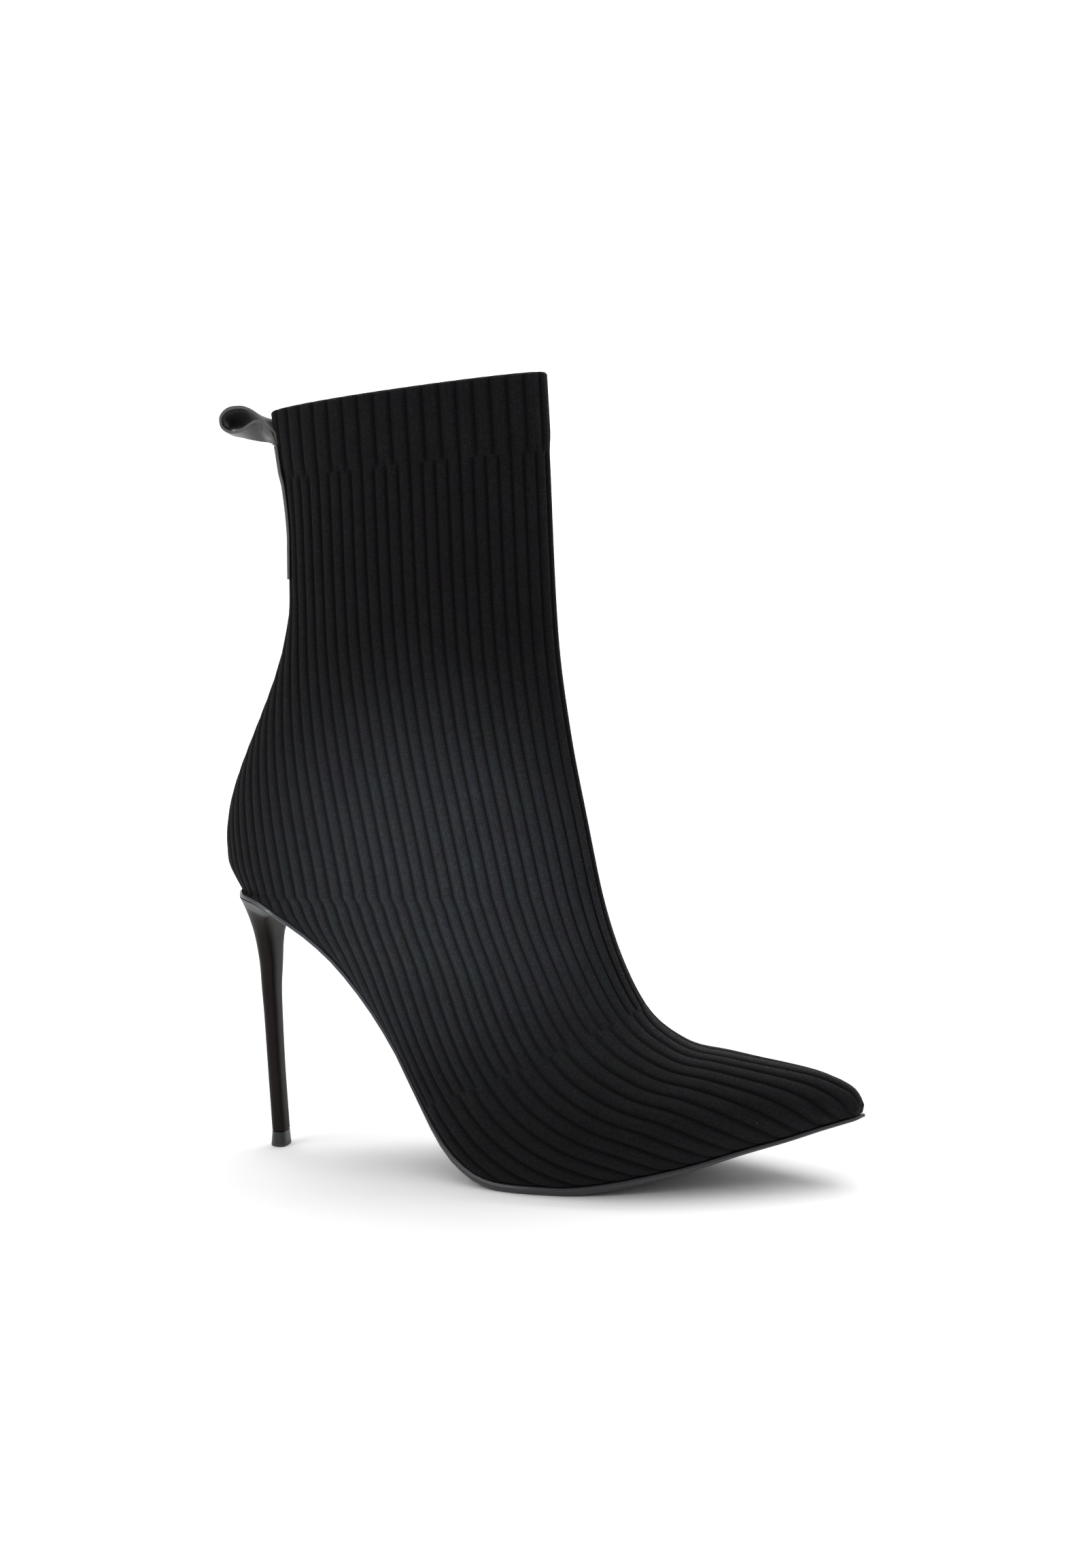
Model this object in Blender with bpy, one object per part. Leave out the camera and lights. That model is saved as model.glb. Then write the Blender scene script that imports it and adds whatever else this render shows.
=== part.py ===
"""Right sock boot: a pointed knit upper on a thin sole, with a stiletto heel and a leather pull loop.

Metres, +Z up. The toe points along +X and the outer side of the foot is at -Y. While the pieces are
made, X runs from 0 behind the heel to LENGTH at the toe, and Z is 0 on the floor. At the end the whole
boot is moved so that its origin is at the middle of its footprint, on the floor.
"""

import math

import bmesh
import bpy
import numpy as np

# Sizes of the whole boot
LENGTH = 0.2270
BALL_WIDTH = 0.0760
HEEL_HEIGHT = 0.0920
TOE_SPRING = 0.0230
INSTEP_HEIGHT = 0.0600
SHAFT_HEIGHT = 0.1773
SHAFT_WIDTH = 0.0310

# Knit upper
WALL = 0.0018
CUFF_HEIGHT = 0.0255
CUFF_STEP = 0.0005
TOE_PUFF = 0.0075

# Sole and insole
LIP = 0.0012
LIP_OVERHANG = 0.0006
TREAD_INSET = 0.0010
BALL_TREAD = 0.0018
INSOLE_THICKNESS = 0.0016
BOARD_CLEARANCE = 0.00045
TIP_TAPER = 0.25

# Heel and its tip
SEAT_X = 0.0058
SEAT_WIDTH = 0.0500
SEAT_LENGTH = 0.0235
TIP_X = 0.0159
TIP_DEPTH = 0.0056
TIP_WIDTH = 0.0076
TIP_HEIGHT = 0.0055
TIP_FLARE = 0.0004
HEEL_INSET = 0.0009
STEM_WIDEST = 0.55
STEM_SQUARE = 0.60
SEAT_WIDEST = 0.90
SEAT_SQUARE = 0.35

# Leather strap
STRAP_WIDTH = 0.0100
STRAP_THICKNESS = 0.0011
LOOP_REACH = 0.0178
LOOP_HEIGHT = 0.0100
LOOP_TAIL = 0.0105
TAPE_LENGTH = 0.0460
TAPE_GAP = 0.0005

# Clearance between pieces that touch
GAP = 0.0003

# How finely the surfaces are divided, and how far the foot's sections crowd towards the toe
SHAFT_ROWS = 16
SEAT_ROWS = 6
FOOT_ROWS = 28
FRONT_STEPS = 10
BACK_STEPS = 8
HEEL_ROWS = 18
HEEL_STEPS = 7
LOOP_STEPS = 48
TAPE_TURNS = 3
CROWDING = 0.10

# Step for measuring slopes, distance at which border points merge, and angle of a sharp edge
SLOPE_STEP = 0.0005
MERGE = 2e-6
SHARP_ANGLE = 40

# Underside of the sole, from the back of the seat to the tip of the toe. along is a share of LENGTH,
# pitch of HEEL_HEIGHT, spring of TOE_SPRING, and tread of BALL_TREAD.
UNDERSIDE = {
    "along": (0.022, 0.044, 0.084, 0.132, 0.178, 0.211, 0.248, 0.279, 0.308, 0.332, 0.359, 0.392,
              0.430, 0.467, 0.498, 0.577, 0.639, 0.699, 0.753, 0.841, 0.894, 0.947, 1.0),
    "pitch": (1.0, 0.990, 0.962, 0.913, 0.848, 0.772, 0.659, 0.550, 0.439, 0.330, 0.217, 0.111,
              0.039, 0.007, 0.0, 0.0, 0.0, 0.0, 0.0, 0.0, 0.0, 0.0, 0.0),
    "spring": (0.0, 0.0, 0.0, 0.0, 0.0, 0.0, 0.0, 0.0, 0.0, 0.0, 0.0, 0.0,
               0.0, 0.0, 0.0, 0.0, 0.060, 0.175, 0.300, 0.560, 0.700, 0.860, 1.0),
    "tread": (0.20, 0.20, 0.20, 0.20, 0.20, 0.20, 0.20, 0.20, 0.20, 0.25, 0.40, 0.65,
              0.88, 0.98, 1.0, 1.0, 0.95, 0.80, 0.62, 0.38, 0.30, 0.25, 0.20),
}

# Edge where the upper meets the sole, seen from above. along is a share of LENGTH, outer and inner
# are half widths and sway the place of the middle line towards the inner side, as shares of BALL_WIDTH.
# Behind the first row the outline is the round seat, and past the last row the round tip.
OUTLINE = {
    "along": (0.125, 0.165, 0.220, 0.275, 0.335, 0.400, 0.465, 0.530, 0.600, 0.670, 0.740, 0.810,
              0.880, 0.940, 0.975, 1.0),
    "outer": (0.329, 0.322, 0.290, 0.268, 0.292, 0.372, 0.445, 0.474, 0.462, 0.408, 0.334, 0.256,
              0.176, 0.108, 0.062, 0.0),
    "inner": (0.329, 0.320, 0.280, 0.250, 0.262, 0.320, 0.395, 0.446, 0.452, 0.416, 0.348, 0.268,
              0.184, 0.110, 0.062, 0.0),
    "sway": (0.0, 0.0, 0.0, 0.0, 0.0, -0.005, 0.0, 0.005, 0.012, 0.020, 0.030, 0.042,
             0.054, 0.064, 0.068, 0.070),
}

# Rings of the shaft from the collar down to the heel. back and front give X as shares of LENGTH,
# back_up and front_up the height above the seat as shares of SHAFT_HEIGHT, half the half width as a
# share of SHAFT_WIDTH, and middle where between front and back the ring is widest.
SHAFT = {
    "back": (0.086, 0.1015, 0.111, 0.1110, 0.097, 0.0705, 0.041, 0.0155, 0.0055, 0.009),
    "back_up": (0.936, 0.809, 0.690, 0.578, 0.469, 0.373, 0.283, 0.193, 0.109, 0.055),
    "front": (0.518, 0.5245, 0.5290, 0.5340, 0.5410, 0.5525, 0.5645, 0.579, 0.5920, 0.5995),
    "front_up": (1.0, 0.858, 0.723, 0.587, 0.464, 0.363, 0.271, 0.184, 0.102, 0.055),
    "half": (0.48, 0.50, 0.51, 0.52, 0.545, 0.590, 0.665, 0.765, 0.845, 0.881),
    "middle": (0.56, 0.56, 0.57, 0.58, 0.60, 0.63, 0.67, 0.71, 0.74, 0.75),
}

# Sections of the foot from the back of the seat to the toe. along is where a section stands on the
# sole, and top where its top is, as shares of LENGTH. pitch is a share of HEEL_HEIGHT and rise of
# INSTEP_HEIGHT, which together are the height of the top over the sole's underside below it. outer and
# inner are its half widths as shares of BALL_WIDTH, and middle as in the shaft.
FOOT = {
    "along": (0.022, 0.053, 0.132, 0.211, 0.278, 0.339, 0.405, 0.485, 0.577, 0.670, 0.767, 0.863,
              0.934, 0.978, 1.0),
    "top": (0.6045, 0.610, 0.6215, 0.6360, 0.651, 0.668, 0.692, 0.728, 0.771, 0.824, 0.880, 0.934,
            0.970, 0.9915, 1.0),
    "pitch": (1.0, 0.96, 0.82, 0.63, 0.46, 0.30, 0.16, 0.06, 0.0, 0.0, 0.0, 0.0,
              0.0, 0.0, 0.0),
    "rise": (0.090, 0.068, 0.128, 0.257, 0.378, 0.492, 0.570, 0.602, 0.600, 0.506, 0.417, 0.320,
             0.236, 0.148, 0.075),
    "outer": (0.3685, 0.372, 0.380, 0.388, 0.400, 0.424, 0.465, 0.510, 0.510, 0.448, 0.345, 0.224,
              0.138, 0.077, 0.0),
    "inner": (0.3685, 0.371, 0.376, 0.376, 0.378, 0.392, 0.425, 0.475, 0.492, 0.456, 0.360, 0.234,
              0.142, 0.077, 0.0),
    "middle": (0.76, 0.76, 0.74, 0.70, 0.66, 0.65, 0.68, 0.72, 0.74, 0.74, 0.72, 0.68,
               0.64, 0.60, 0.55),
}

# Rings of the heel from its tip to the seat. up is the share of the way to the seat, lean how far the
# back has moved from the tip's to the seat's, deep and wide how far the ring has grown to the seat's.
HEEL = {
    "up": (0.0, 0.11, 0.23, 0.36, 0.49, 0.60, 0.70, 0.78, 0.84, 0.895, 0.935, 0.970, 1.0),
    "lean": (0.0, 0.065, 0.135, 0.205, 0.275, 0.350, 0.400, 0.490, 0.580, 0.690, 0.785, 0.885, 1.0),
    "deep": (0.0, 0.0, 0.0, 0.006, 0.018, 0.040, 0.080, 0.125, 0.180, 0.290, 0.430, 0.660, 1.0),
    "wide": (0.0, 0.0, 0.0, 0.006, 0.016, 0.040, 0.085, 0.150, 0.235, 0.380, 0.540, 0.755, 1.0),
}

# Middle line of the pull loop, away from the collar and back to it. out is a share of LOOP_REACH behind
# the rim, and up of LOOP_HEIGHT above it.
LOOP = {
    "out": (0.125, 0.28, 0.485, 0.667, 0.836, 0.945, 0.955, 0.861, 0.715, 0.558, 0.40, 0.270, 0.185),
    "up": (0.02, 0.10, 0.19, 0.21, 0.11, -0.10, -0.40, -0.68, -0.78, -0.66, -0.46, -0.36, -0.44),
}


def flow(keys, values, at):
    """Smooth curve through a table's rows: cubic pieces whose slopes are limited, so none overshoots."""
    keys = np.asarray(keys, float)
    values = np.asarray(values, float)
    span = np.diff(keys)
    rate = np.diff(values) / span
    slope = np.empty_like(values)
    slope[0] = rate[0]
    slope[-1] = rate[-1]
    before = rate[:-1]
    after = rate[1:]
    mean = (before * span[1:] + after * span[:-1]) / (span[1:] + span[:-1])
    limit = 3 * np.minimum(abs(before), abs(after))
    slope[1:-1] = np.where(before * after > 0, np.clip(mean, -limit, limit), 0)
    row = np.clip(np.searchsorted(keys, at, side="right") - 1, 0, len(span) - 1)
    share = (at - keys[row]) / span[row]
    rest = 1 - share
    start = values[row] * (1 + 2 * share) + slope[row] * span[row] * share
    end = values[row + 1] * (1 + 2 * rest) - slope[row + 1] * span[row] * rest
    return rest**2 * start + share**2 * end


def column(table, name, at):
    """A column of a table, read at places between its rows."""
    return flow(np.arange(len(table[name])), table[name], at)


def side_normals(x, z):
    """Unit normals of a line in the XZ plane, turned left from its direction of travel."""
    dx = np.gradient(x)
    dz = np.gradient(z)
    size = np.hypot(dx, dz)
    return -dz / size, dx / size


def underside(x):
    """Height of the sole's underside over the floor."""
    along = x / LENGTH
    keys = UNDERSIDE["along"]
    pitch = flow(keys, UNDERSIDE["pitch"], along)
    spring = flow(keys, UNDERSIDE["spring"], along)
    return HEEL_HEIGHT * pitch + TOE_SPRING * spring


def sole_thickness(x):
    return LIP + BALL_TREAD * flow(UNDERSIDE["along"], UNDERSIDE["tread"], x / LENGTH)


def sole_normals(x):
    """Unit normals of the sole's underside, which point up into the boot."""
    slope = (underside(x + SLOPE_STEP) - underside(x - SLOPE_STEP)) / (2 * SLOPE_STEP)
    size = np.hypot(1, slope)
    return -slope / size, 1 / size


def lifted(x, height):
    """Points at a height over the sole's underside, measured square to it."""
    nx, nz = sole_normals(x)
    return x + nx * height, underside(x) + nz * height


def edge_widths(x):
    """Half widths of the edge where the upper meets the sole: round seat, table, round tip."""
    along = np.clip(x / LENGTH, OUTLINE["along"][0], 1)
    outer = BALL_WIDTH * flow(OUTLINE["along"], OUTLINE["outer"], along)
    inner = BALL_WIDTH * flow(OUTLINE["along"], OUTLINE["inner"], along)
    seat_end = OUTLINE["along"][0] * LENGTH
    back = np.clip((seat_end - x) / (seat_end - SEAT_X), 0, 1)
    tip_start = OUTLINE["along"][-2] * LENGTH
    tip = np.clip((x - tip_start) / (LENGTH - tip_start), 0, 1)
    wide = BALL_WIDTH * OUTLINE["outer"][-2]
    round_tip = wide * np.sqrt(1 - tip**2) * (1 - TIP_TAPER * tip)
    closing = np.sqrt(1 - back**2)
    outer = np.where(tip > 0, round_tip, outer * closing)
    inner = np.where(tip > 0, round_tip, inner * closing)
    return outer, inner


def sway(x):
    """How far the foot's middle line lies towards the inner side."""
    along = np.clip(x / LENGTH, OUTLINE["along"][0], 1)
    return BALL_WIDTH * flow(OUTLINE["along"], OUTLINE["sway"], along)


def edge_places():
    """X of the foot's sections under the sole: even turns round the seat, then closer at the toe."""
    seat_end = OUTLINE["along"][0] * LENGTH
    turn = np.linspace(0, math.pi / 2, SEAT_ROWS + 1)[:-1]
    seat = SEAT_X + (seat_end - SEAT_X) * (1 - np.cos(turn))
    last = len(FOOT["along"]) - 1
    first = np.interp(OUTLINE["along"][0], FOOT["along"], np.arange(last + 1))
    share = np.linspace(0, 1, FOOT_ROWS + 1)
    rows = first + (last - first) * (share + CROWDING * np.sin(math.pi * share))
    return np.concatenate([seat, LENGTH * np.interp(rows, np.arange(last + 1), FOOT["along"])])


def lining_places(clearance):
    """The same for the inner face, drawn in at the back by the wall and at the toe by the toe puff."""
    x = edge_places()
    seat_end = LENGTH * OUTLINE["along"][0]
    back = np.clip((seat_end - x) / (seat_end - SEAT_X), 0, 1)
    start = LENGTH * OUTLINE["along"][-4]
    toe = np.clip((x - start) / (LENGTH - start), 0, 1)
    return x + (WALL + clearance) * back - TOE_PUFF * toe


def shaft_sections():
    """Back and front points, half widths and middles of the shaft's rings, from the collar down."""
    last = len(SHAFT["back"]) - 1
    cuff = np.interp(1 - CUFF_HEIGHT / SHAFT_HEIGHT, SHAFT["front_up"][::-1], np.arange(last, -1, -1))
    upper_rows = np.linspace(0, cuff, 4)
    lower_rows = np.linspace(cuff, last, SHAFT_ROWS - 2)
    rows = np.concatenate([upper_rows, lower_rows])
    step = np.concatenate([np.full(len(upper_rows), CUFF_STEP), np.zeros(len(lower_rows))])
    seat = lifted(np.array([SEAT_X]), sole_thickness(SEAT_X) + GAP)[1][0]
    half = SHAFT_WIDTH * column(SHAFT, "half", rows)
    return {
        "low_x": LENGTH * column(SHAFT, "back", rows),
        "low_z": seat + SHAFT_HEIGHT * column(SHAFT, "back_up", rows),
        "top_x": LENGTH * column(SHAFT, "front", rows),
        "top_z": seat + SHAFT_HEIGHT * column(SHAFT, "front_up", rows),
        "outer": half,
        "inner": half,
        "base_outer": np.zeros(len(rows)),
        "base_inner": np.zeros(len(rows)),
        "middle": column(SHAFT, "middle", rows),
        "sway": np.zeros(len(rows)),
        "step": step,
    }


def foot_sections(x):
    """The same for the foot, where each section stands on the edge of the sole at x."""
    along = x / LENGTH
    keys = FOOT["along"]
    low_x, low_z = lifted(x, sole_thickness(x) + GAP)
    base_outer, base_inner = edge_widths(x)
    top_x = LENGTH * flow(keys, FOOT["top"], along)
    pitch = flow(keys, FOOT["pitch"], along)
    rise = flow(keys, FOOT["rise"], along)
    share = np.clip((along - keys[-2]) / (1 - keys[-2]), 0, 1)
    sections = {
        "low_x": low_x,
        "low_z": low_z,
        "top_x": top_x,
        "top_z": underside(top_x) + HEEL_HEIGHT * pitch + INSTEP_HEIGHT * rise,
        "base_outer": base_outer,
        "base_inner": base_inner,
        "middle": flow(keys, FOOT["middle"], along),
        "sway": sway(x),
        "step": np.zeros(len(x)),
    }
    for side, base in (("outer", base_outer), ("inner", base_inner)):
        wide = np.where(share > 0, FOOT[side][-2] * np.sqrt(1 - share**2), flow(keys, FOOT[side], along))
        sections[side] = np.maximum(BALL_WIDTH * wide, base)
    return sections


def all_sections(x):
    """The shaft's rings, then the foot's sections at x, with the inward normals of both their lines."""
    shaft = shaft_sections()
    foot = foot_sections(x)
    sections = {name: np.concatenate([shaft[name], foot[name]]) for name in shaft}
    sections["first_open"] = len(shaft["low_x"])
    low = smooth_normals(sections["low_x"], sections["low_z"], sections["step"])
    top = smooth_normals(sections["top_x"], sections["top_z"], sections["step"])
    rings = slice(0, sections["first_open"])
    sole = sole_normals(x)
    sections["low_normal"] = [np.concatenate([low[k][rings], sole[k]]) for k in (0, 1)]
    sections["top_normal"] = (-top[0], -top[1])
    return sections


def lining_sections():
    """Sections of the inner face, before the wall is taken off: they close before the outer tip."""
    x = lining_places(0)
    sections = all_sections(x)
    rings = np.zeros(sections["first_open"])
    start = LENGTH * OUTLINE["along"][-4]
    share = np.clip((x - start) / (x[-1] - start), 0, 1)
    closing = np.sqrt(1 - np.concatenate([rings, share]) ** 4)
    for side, edge in zip(("outer", "inner"), edge_widths(edge_places())):
        sections[side] = sections[side] * closing + WALL * (1 - closing)
        base = np.minimum(sections["base_" + side], np.concatenate([rings, edge]))
        sections["base_" + side] = base * closing
    return sections


def smooth_normals(x, z, step):
    """Unit normals of a line whose doubled point, at the cuff's edge, takes its neighbours' direction."""
    keep = np.ones(len(x), bool)
    keep[np.flatnonzero(np.diff(step) < 0) + 1] = False
    place = np.cumsum(keep) - 1
    nx, nz = side_normals(x[keep], z[keep])
    return nx[place], nz[place]


def surface(sections, side, inset):
    """One side of the upper's surface, an array of sections by points from the top line to the edge.

    The first quarter runs from the top line to the widest place as a quarter of an ellipse, and the
    second from there down to the edge, where it turns in under the foot. inset moves the surface
    inwards, as the inner face of the wall.
    """
    front = np.linspace(0, math.pi / 2, FRONT_STEPS + 1)
    back = np.linspace(0, math.pi / 2, BACK_STEPS + 1)[1:]
    low_x = sections["low_x"] + sections["low_normal"][0] * inset
    low_z = sections["low_z"] + sections["low_normal"][1] * inset
    top_x = sections["top_x"] + sections["top_normal"][0] * inset
    top_z = sections["top_z"] + sections["top_normal"][1] * inset
    wide = np.maximum(sections[side] - inset, 0)[:, None]
    base = np.minimum(sections["base_" + side][:, None], wide)
    middle = sections["middle"][:, None]
    down = np.concatenate([middle * (1 - np.cos(front)), middle + (1 - middle) * np.sin(back)], axis=1)
    out = np.concatenate([wide * np.sin(front), base + (wide - base) * np.cos(back)], axis=1)
    sign = -1 if side == "outer" else 1
    points = np.empty(down.shape + (3,))
    points[..., 0] = top_x[:, None] + (low_x - top_x)[:, None] * down
    points[..., 1] = sections["sway"][:, None] + sign * out
    points[..., 2] = top_z[:, None] + (low_z - top_z)[:, None] * down
    return points


def grid_faces(rows, columns):
    """Quads of a grid of points numbered row by row."""
    row, col = np.meshgrid(np.arange(rows - 1), np.arange(columns - 1), indexing="ij")
    first = (row * columns + col).ravel()
    return np.stack([first, first + 1, first + columns + 1, first + columns], axis=1)


def solid(name, patches, material):
    """One closed mesh from grids of points that share their border points."""
    points = []
    faces = []
    start = 0
    for patch in patches:
        rows, columns = patch.shape[:2]
        points.append(patch.reshape(-1, 3))
        faces.append(grid_faces(rows, columns) + start)
        start += rows * columns
    mesh = bpy.data.meshes.new(name)
    mesh.from_pydata(np.concatenate(points).tolist(), [], np.concatenate(faces).tolist())
    work = bmesh.new()
    work.from_mesh(mesh)
    bmesh.ops.remove_doubles(work, verts=work.verts, dist=MERGE)
    bmesh.ops.dissolve_degenerate(work, edges=work.edges, dist=MERGE)
    bmesh.ops.recalc_face_normals(work, faces=work.faces)
    work.to_mesh(mesh)
    work.free()
    mesh.shade_smooth()
    mesh.set_sharp_from_angle(angle=math.radians(SHARP_ANGLE))
    mesh.materials.append(material)
    piece = bpy.data.objects.new(name, mesh)
    bpy.context.scene.collection.objects.link(piece)
    return piece


def between(first, second):
    """A strip from one line of points to another."""
    return np.stack([first, second])


def upper_piece(sections, material):
    """Hollow knit shell: outer and inner face, the collar's rim, and the edge that the sole closes."""
    inside = lining_sections()
    opening = sections["first_open"]
    patches = []
    for side in ("outer", "inner"):
        outside = surface(sections, side, -sections["step"])
        lining = surface(inside, side, WALL)
        patches += [outside, lining]
        patches.append(between(outside[0], lining[0]))
        patches.append(between(outside[opening:, -1], lining[opening:, -1]))
    return solid("upper", patches, material)


def outline(grow):
    """Closed edge of the sole seen from above, moved outwards by grow: outer side, then inner side."""
    x = edge_places()
    outer, inner = edge_widths(x)
    middle = sway(x)
    ring_x = np.concatenate([x, x[-2:0:-1]])
    ring_y = np.concatenate([middle - outer, (middle + inner)[-2:0:-1]])
    before = np.roll(np.stack([ring_x, ring_y]), 1, axis=1)
    after = np.roll(np.stack([ring_x, ring_y]), -1, axis=1)
    along = after - before
    size = np.hypot(along[0], along[1])
    ring_x = ring_x + grow * along[1] / size
    ring_y = ring_y - grow * along[0] / size
    count = len(x)
    inner_order = np.concatenate([[0], np.arange(len(ring_x) - 1, count - 2, -1)])
    outer_side = np.stack([ring_x[:count], ring_y[:count]], axis=1)
    inner_side = np.stack([ring_x[inner_order], ring_y[inner_order]], axis=1)
    return outer_side, inner_side


def raised(line, height):
    """A line seen from above, set at a height over the sole's underside."""
    x, z = lifted(line[:, 0], height)
    return np.stack([x, line[:, 1], z], axis=1)


def sole_piece(material):
    """Lip round the edge over an inset tread, whose underside is flat under the ball."""
    wide = outline(LIP_OVERHANG)
    narrow = outline(LIP_OVERHANG - TREAD_INSET)
    layers = []
    for lip, tread in zip(wide, narrow):
        top = sole_thickness(lip[:, 0])
        shelf = sole_thickness(tread[:, 0])
        layers.append([
            raised(lip, top),
            raised(lip, top - LIP),
            raised(tread, shelf - LIP),
            raised(tread, 0 * shelf),
        ])
    patches = []
    for side in layers:
        patches += [between(side[k], side[k + 1]) for k in range(3)]
    patches.append(between(layers[0][0], layers[1][0]))
    patches.append(between(layers[0][3], layers[1][3]))
    return solid("sole", patches, material)


def insole_piece(material):
    """Board that fills the opening underneath, with the clearance all round."""
    inside = lining_sections()
    opening = inside["first_open"]
    x = lining_places(BOARD_CLEARANCE)[1:-1]
    height = sole_thickness(x) + GAP
    lower = []
    upper = []
    for side, sign in (("outer", -1), ("inner", 1)):
        half = np.maximum(inside["base_" + side][opening + 1:-1] - BOARD_CLEARANCE, GAP)
        line = np.stack([x, sway(x) + sign * half], axis=1)
        lower.append(raised(line, height))
        upper.append(raised(line, height + INSOLE_THICKNESS))
    patches = [between(lower[0], lower[1]), between(upper[0], upper[1])]
    patches += [between(lower[k], upper[k]) for k in range(2)]
    for end in (0, -1):
        rim = np.stack([lower[0][end], lower[1][end]])
        patches.append(between(rim, np.stack([upper[0][end], upper[1][end]])))
    return solid("insole", patches, material)


def heel_ring(widest, square):
    """Half of a D seen from above, from its round back to its flat front, as shares of depth and width."""
    turn = np.linspace(0, math.pi / 2, HEEL_STEPS + 1)
    back = np.stack([widest * (1 - np.cos(turn)), np.sin(turn)])
    front = np.stack([widest + (1 - widest) * np.sin(turn) ** square, np.cos(turn) ** square])
    return np.concatenate([back, front[:, 1:]], axis=1)


def heel_sides(rings):
    """Outer and inner side of a stack of rings, each given as back, depth, half width and heights."""
    sides = []
    for sign in (-1, 1):
        rows = [np.stack([x, sign * y, z], axis=1) for x, y, z in rings]
        sides.append(np.stack(rows))
    return sides


def heel_piece(material):
    """Stiletto heel: its flat foot stands on the tip, and its top follows the underside of the seat."""
    seat_back = SEAT_X + HEEL_INSET
    foot = TIP_HEIGHT + GAP
    stem = heel_ring(STEM_WIDEST, STEM_SQUARE)
    seat = heel_ring(SEAT_WIDEST, SEAT_SQUARE)
    rings = []
    last = len(HEEL["up"]) - 1
    for at in np.linspace(0, last, HEEL_ROWS + 1):
        up, lean, deep, wide = (column(HEEL, name, at) for name in ("up", "lean", "deep", "wide"))
        back = TIP_X + (seat_back - TIP_X) * lean
        depth = TIP_DEPTH + (SEAT_LENGTH - HEEL_INSET - TIP_DEPTH) * deep
        half = TIP_WIDTH / 2 + (SEAT_WIDTH / 2 - HEEL_INSET - TIP_WIDTH / 2) * wide
        shape = stem + (seat - stem) * max(wide, 0)
        x = back + depth * shape[0]
        ceiling = seat_ceiling(x)
        rings.append((x, half * shape[1], foot + (ceiling - foot) * up))
    sides = heel_sides(rings)
    patches = list(sides)
    patches += [between(sides[0][end], sides[1][end]) for end in (0, -1)]
    return solid("heel", patches, material)


def seat_ceiling(x):
    """Height just under the sole's underside at x."""
    return underside(x) - GAP / sole_normals(x)[1]


def tip_piece(material):
    """Top piece of the heel, a little wider at the floor than where it meets the stem."""
    shape = heel_ring(STEM_WIDEST, STEM_SQUARE)
    rings = []
    for height, grow in ((TIP_HEIGHT, 0.0), (0.0, TIP_FLARE)):
        x = TIP_X - grow + (TIP_DEPTH + 2 * grow) * shape[0]
        y = (TIP_WIDTH / 2 + grow) * shape[1]
        rings.append((x, y, np.full_like(x, height)))
    sides = heel_sides(rings)
    patches = list(sides)
    patches += [between(sides[0][end], sides[1][end]) for end in (0, -1)]
    return solid("top_piece", patches, material)


def loop_line(sections):
    """Middle line of the pull loop in the XZ plane: up the back of the collar, round, and down again.

    Its first end lies against the knit, and its last end on top of the first.
    """
    rim_x = sections["low_x"][0] - CUFF_STEP
    rim_z = sections["low_z"][0]
    first_layer = GAP + STRAP_THICKNESS / 2
    second_layer = first_layer + GAP + STRAP_THICKNESS
    tail_up = rim_z - LOOP_TAIL * np.array([1.0, 0.75, 0.5, 0.2])
    tail_down = rim_z - LOOP_TAIL * np.array([0.6, 0.8, 1.0])
    rows = slice(0, sections["first_open"])
    heights = -sections["low_z"][rows]
    back_up = np.interp(-tail_up, heights, sections["low_x"][rows]) - CUFF_STEP - first_layer
    back_down = np.interp(-tail_down, heights, sections["low_x"][rows]) - CUFF_STEP - second_layer
    loop_x = rim_x - LOOP_REACH * np.array(LOOP["out"])
    loop_z = rim_z + LOOP_HEIGHT * np.array(LOOP["up"])
    x = np.concatenate([back_up, loop_x, back_down])
    z = np.concatenate([tail_up, loop_z, tail_down])
    place = np.concatenate([[0], np.cumsum(np.hypot(np.diff(x), np.diff(z)))])
    at = np.linspace(0, place[-1], LOOP_STEPS + 1)
    return flow(place, x, at), flow(place, z, at)


def loop_piece(sections, material):
    """Leather strap bent into the pull loop."""
    x, z = loop_line(sections)
    nx, nz = side_normals(x, z)
    half = STRAP_THICKNESS / 2
    faces = []
    for sign in (-1, 1):
        face = []
        for y in (-STRAP_WIDTH / 2, STRAP_WIDTH / 2):
            face.append(np.stack([x + sign * half * nx, np.full_like(x, y), z + sign * half * nz], axis=1))
        faces.append(face)
    patches = [between(face[0], face[1]) for face in faces]
    patches += [between(faces[0][k], faces[1][k]) for k in range(2)]
    for end in (0, -1):
        first = np.stack([faces[0][0][end], faces[0][1][end]])
        second = np.stack([faces[1][0][end], faces[1][1][end]])
        patches.append(between(first, second))
    return solid("pull_loop", patches, material)


def tape_piece(sections, material):
    """Leather tape down the back of the shaft, cut from the upper's own surface just outside it."""
    top = sections["low_z"][0] - LOOP_TAIL - TAPE_GAP
    bottom = top - TAPE_LENGTH
    cuff_rows = int((sections["step"] > 0).sum())
    below = np.arange(len(sections["step"])) - cuff_rows
    carried = CUFF_STEP * np.clip(1 - below / 2, 0, 1)
    single = np.arange(sections["first_open"]) != cuff_rows - 1
    grid = []
    for lift in (GAP, GAP + STRAP_THICKNESS):
        sides = [surface(sections, side, -carried - lift) for side in ("outer", "inner")]
        ring = np.concatenate([sides[0], sides[1][:, -2::-1]], axis=1)
        grid.append(ring[: sections["first_open"]][single])
    middle = FRONT_STEPS + BACK_STEPS
    cut = slice(middle - TAPE_TURNS, middle + TAPE_TURNS + 1)
    heights = grid[0][:, middle, 2]
    inside = [z for z in heights if bottom < z < top]
    levels = np.array([top] + inside + [bottom])
    rows = np.interp(-levels, -heights, np.arange(len(heights)))
    faces = [strip_at(ring[:, cut], rows) for ring in grid]
    patches = list(faces)
    patches += [between(faces[0][end], faces[1][end]) for end in (0, -1)]
    patches += [between(faces[0][:, end], faces[1][:, end]) for end in (0, -1)]
    return solid("back_tape", patches, material)


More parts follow.
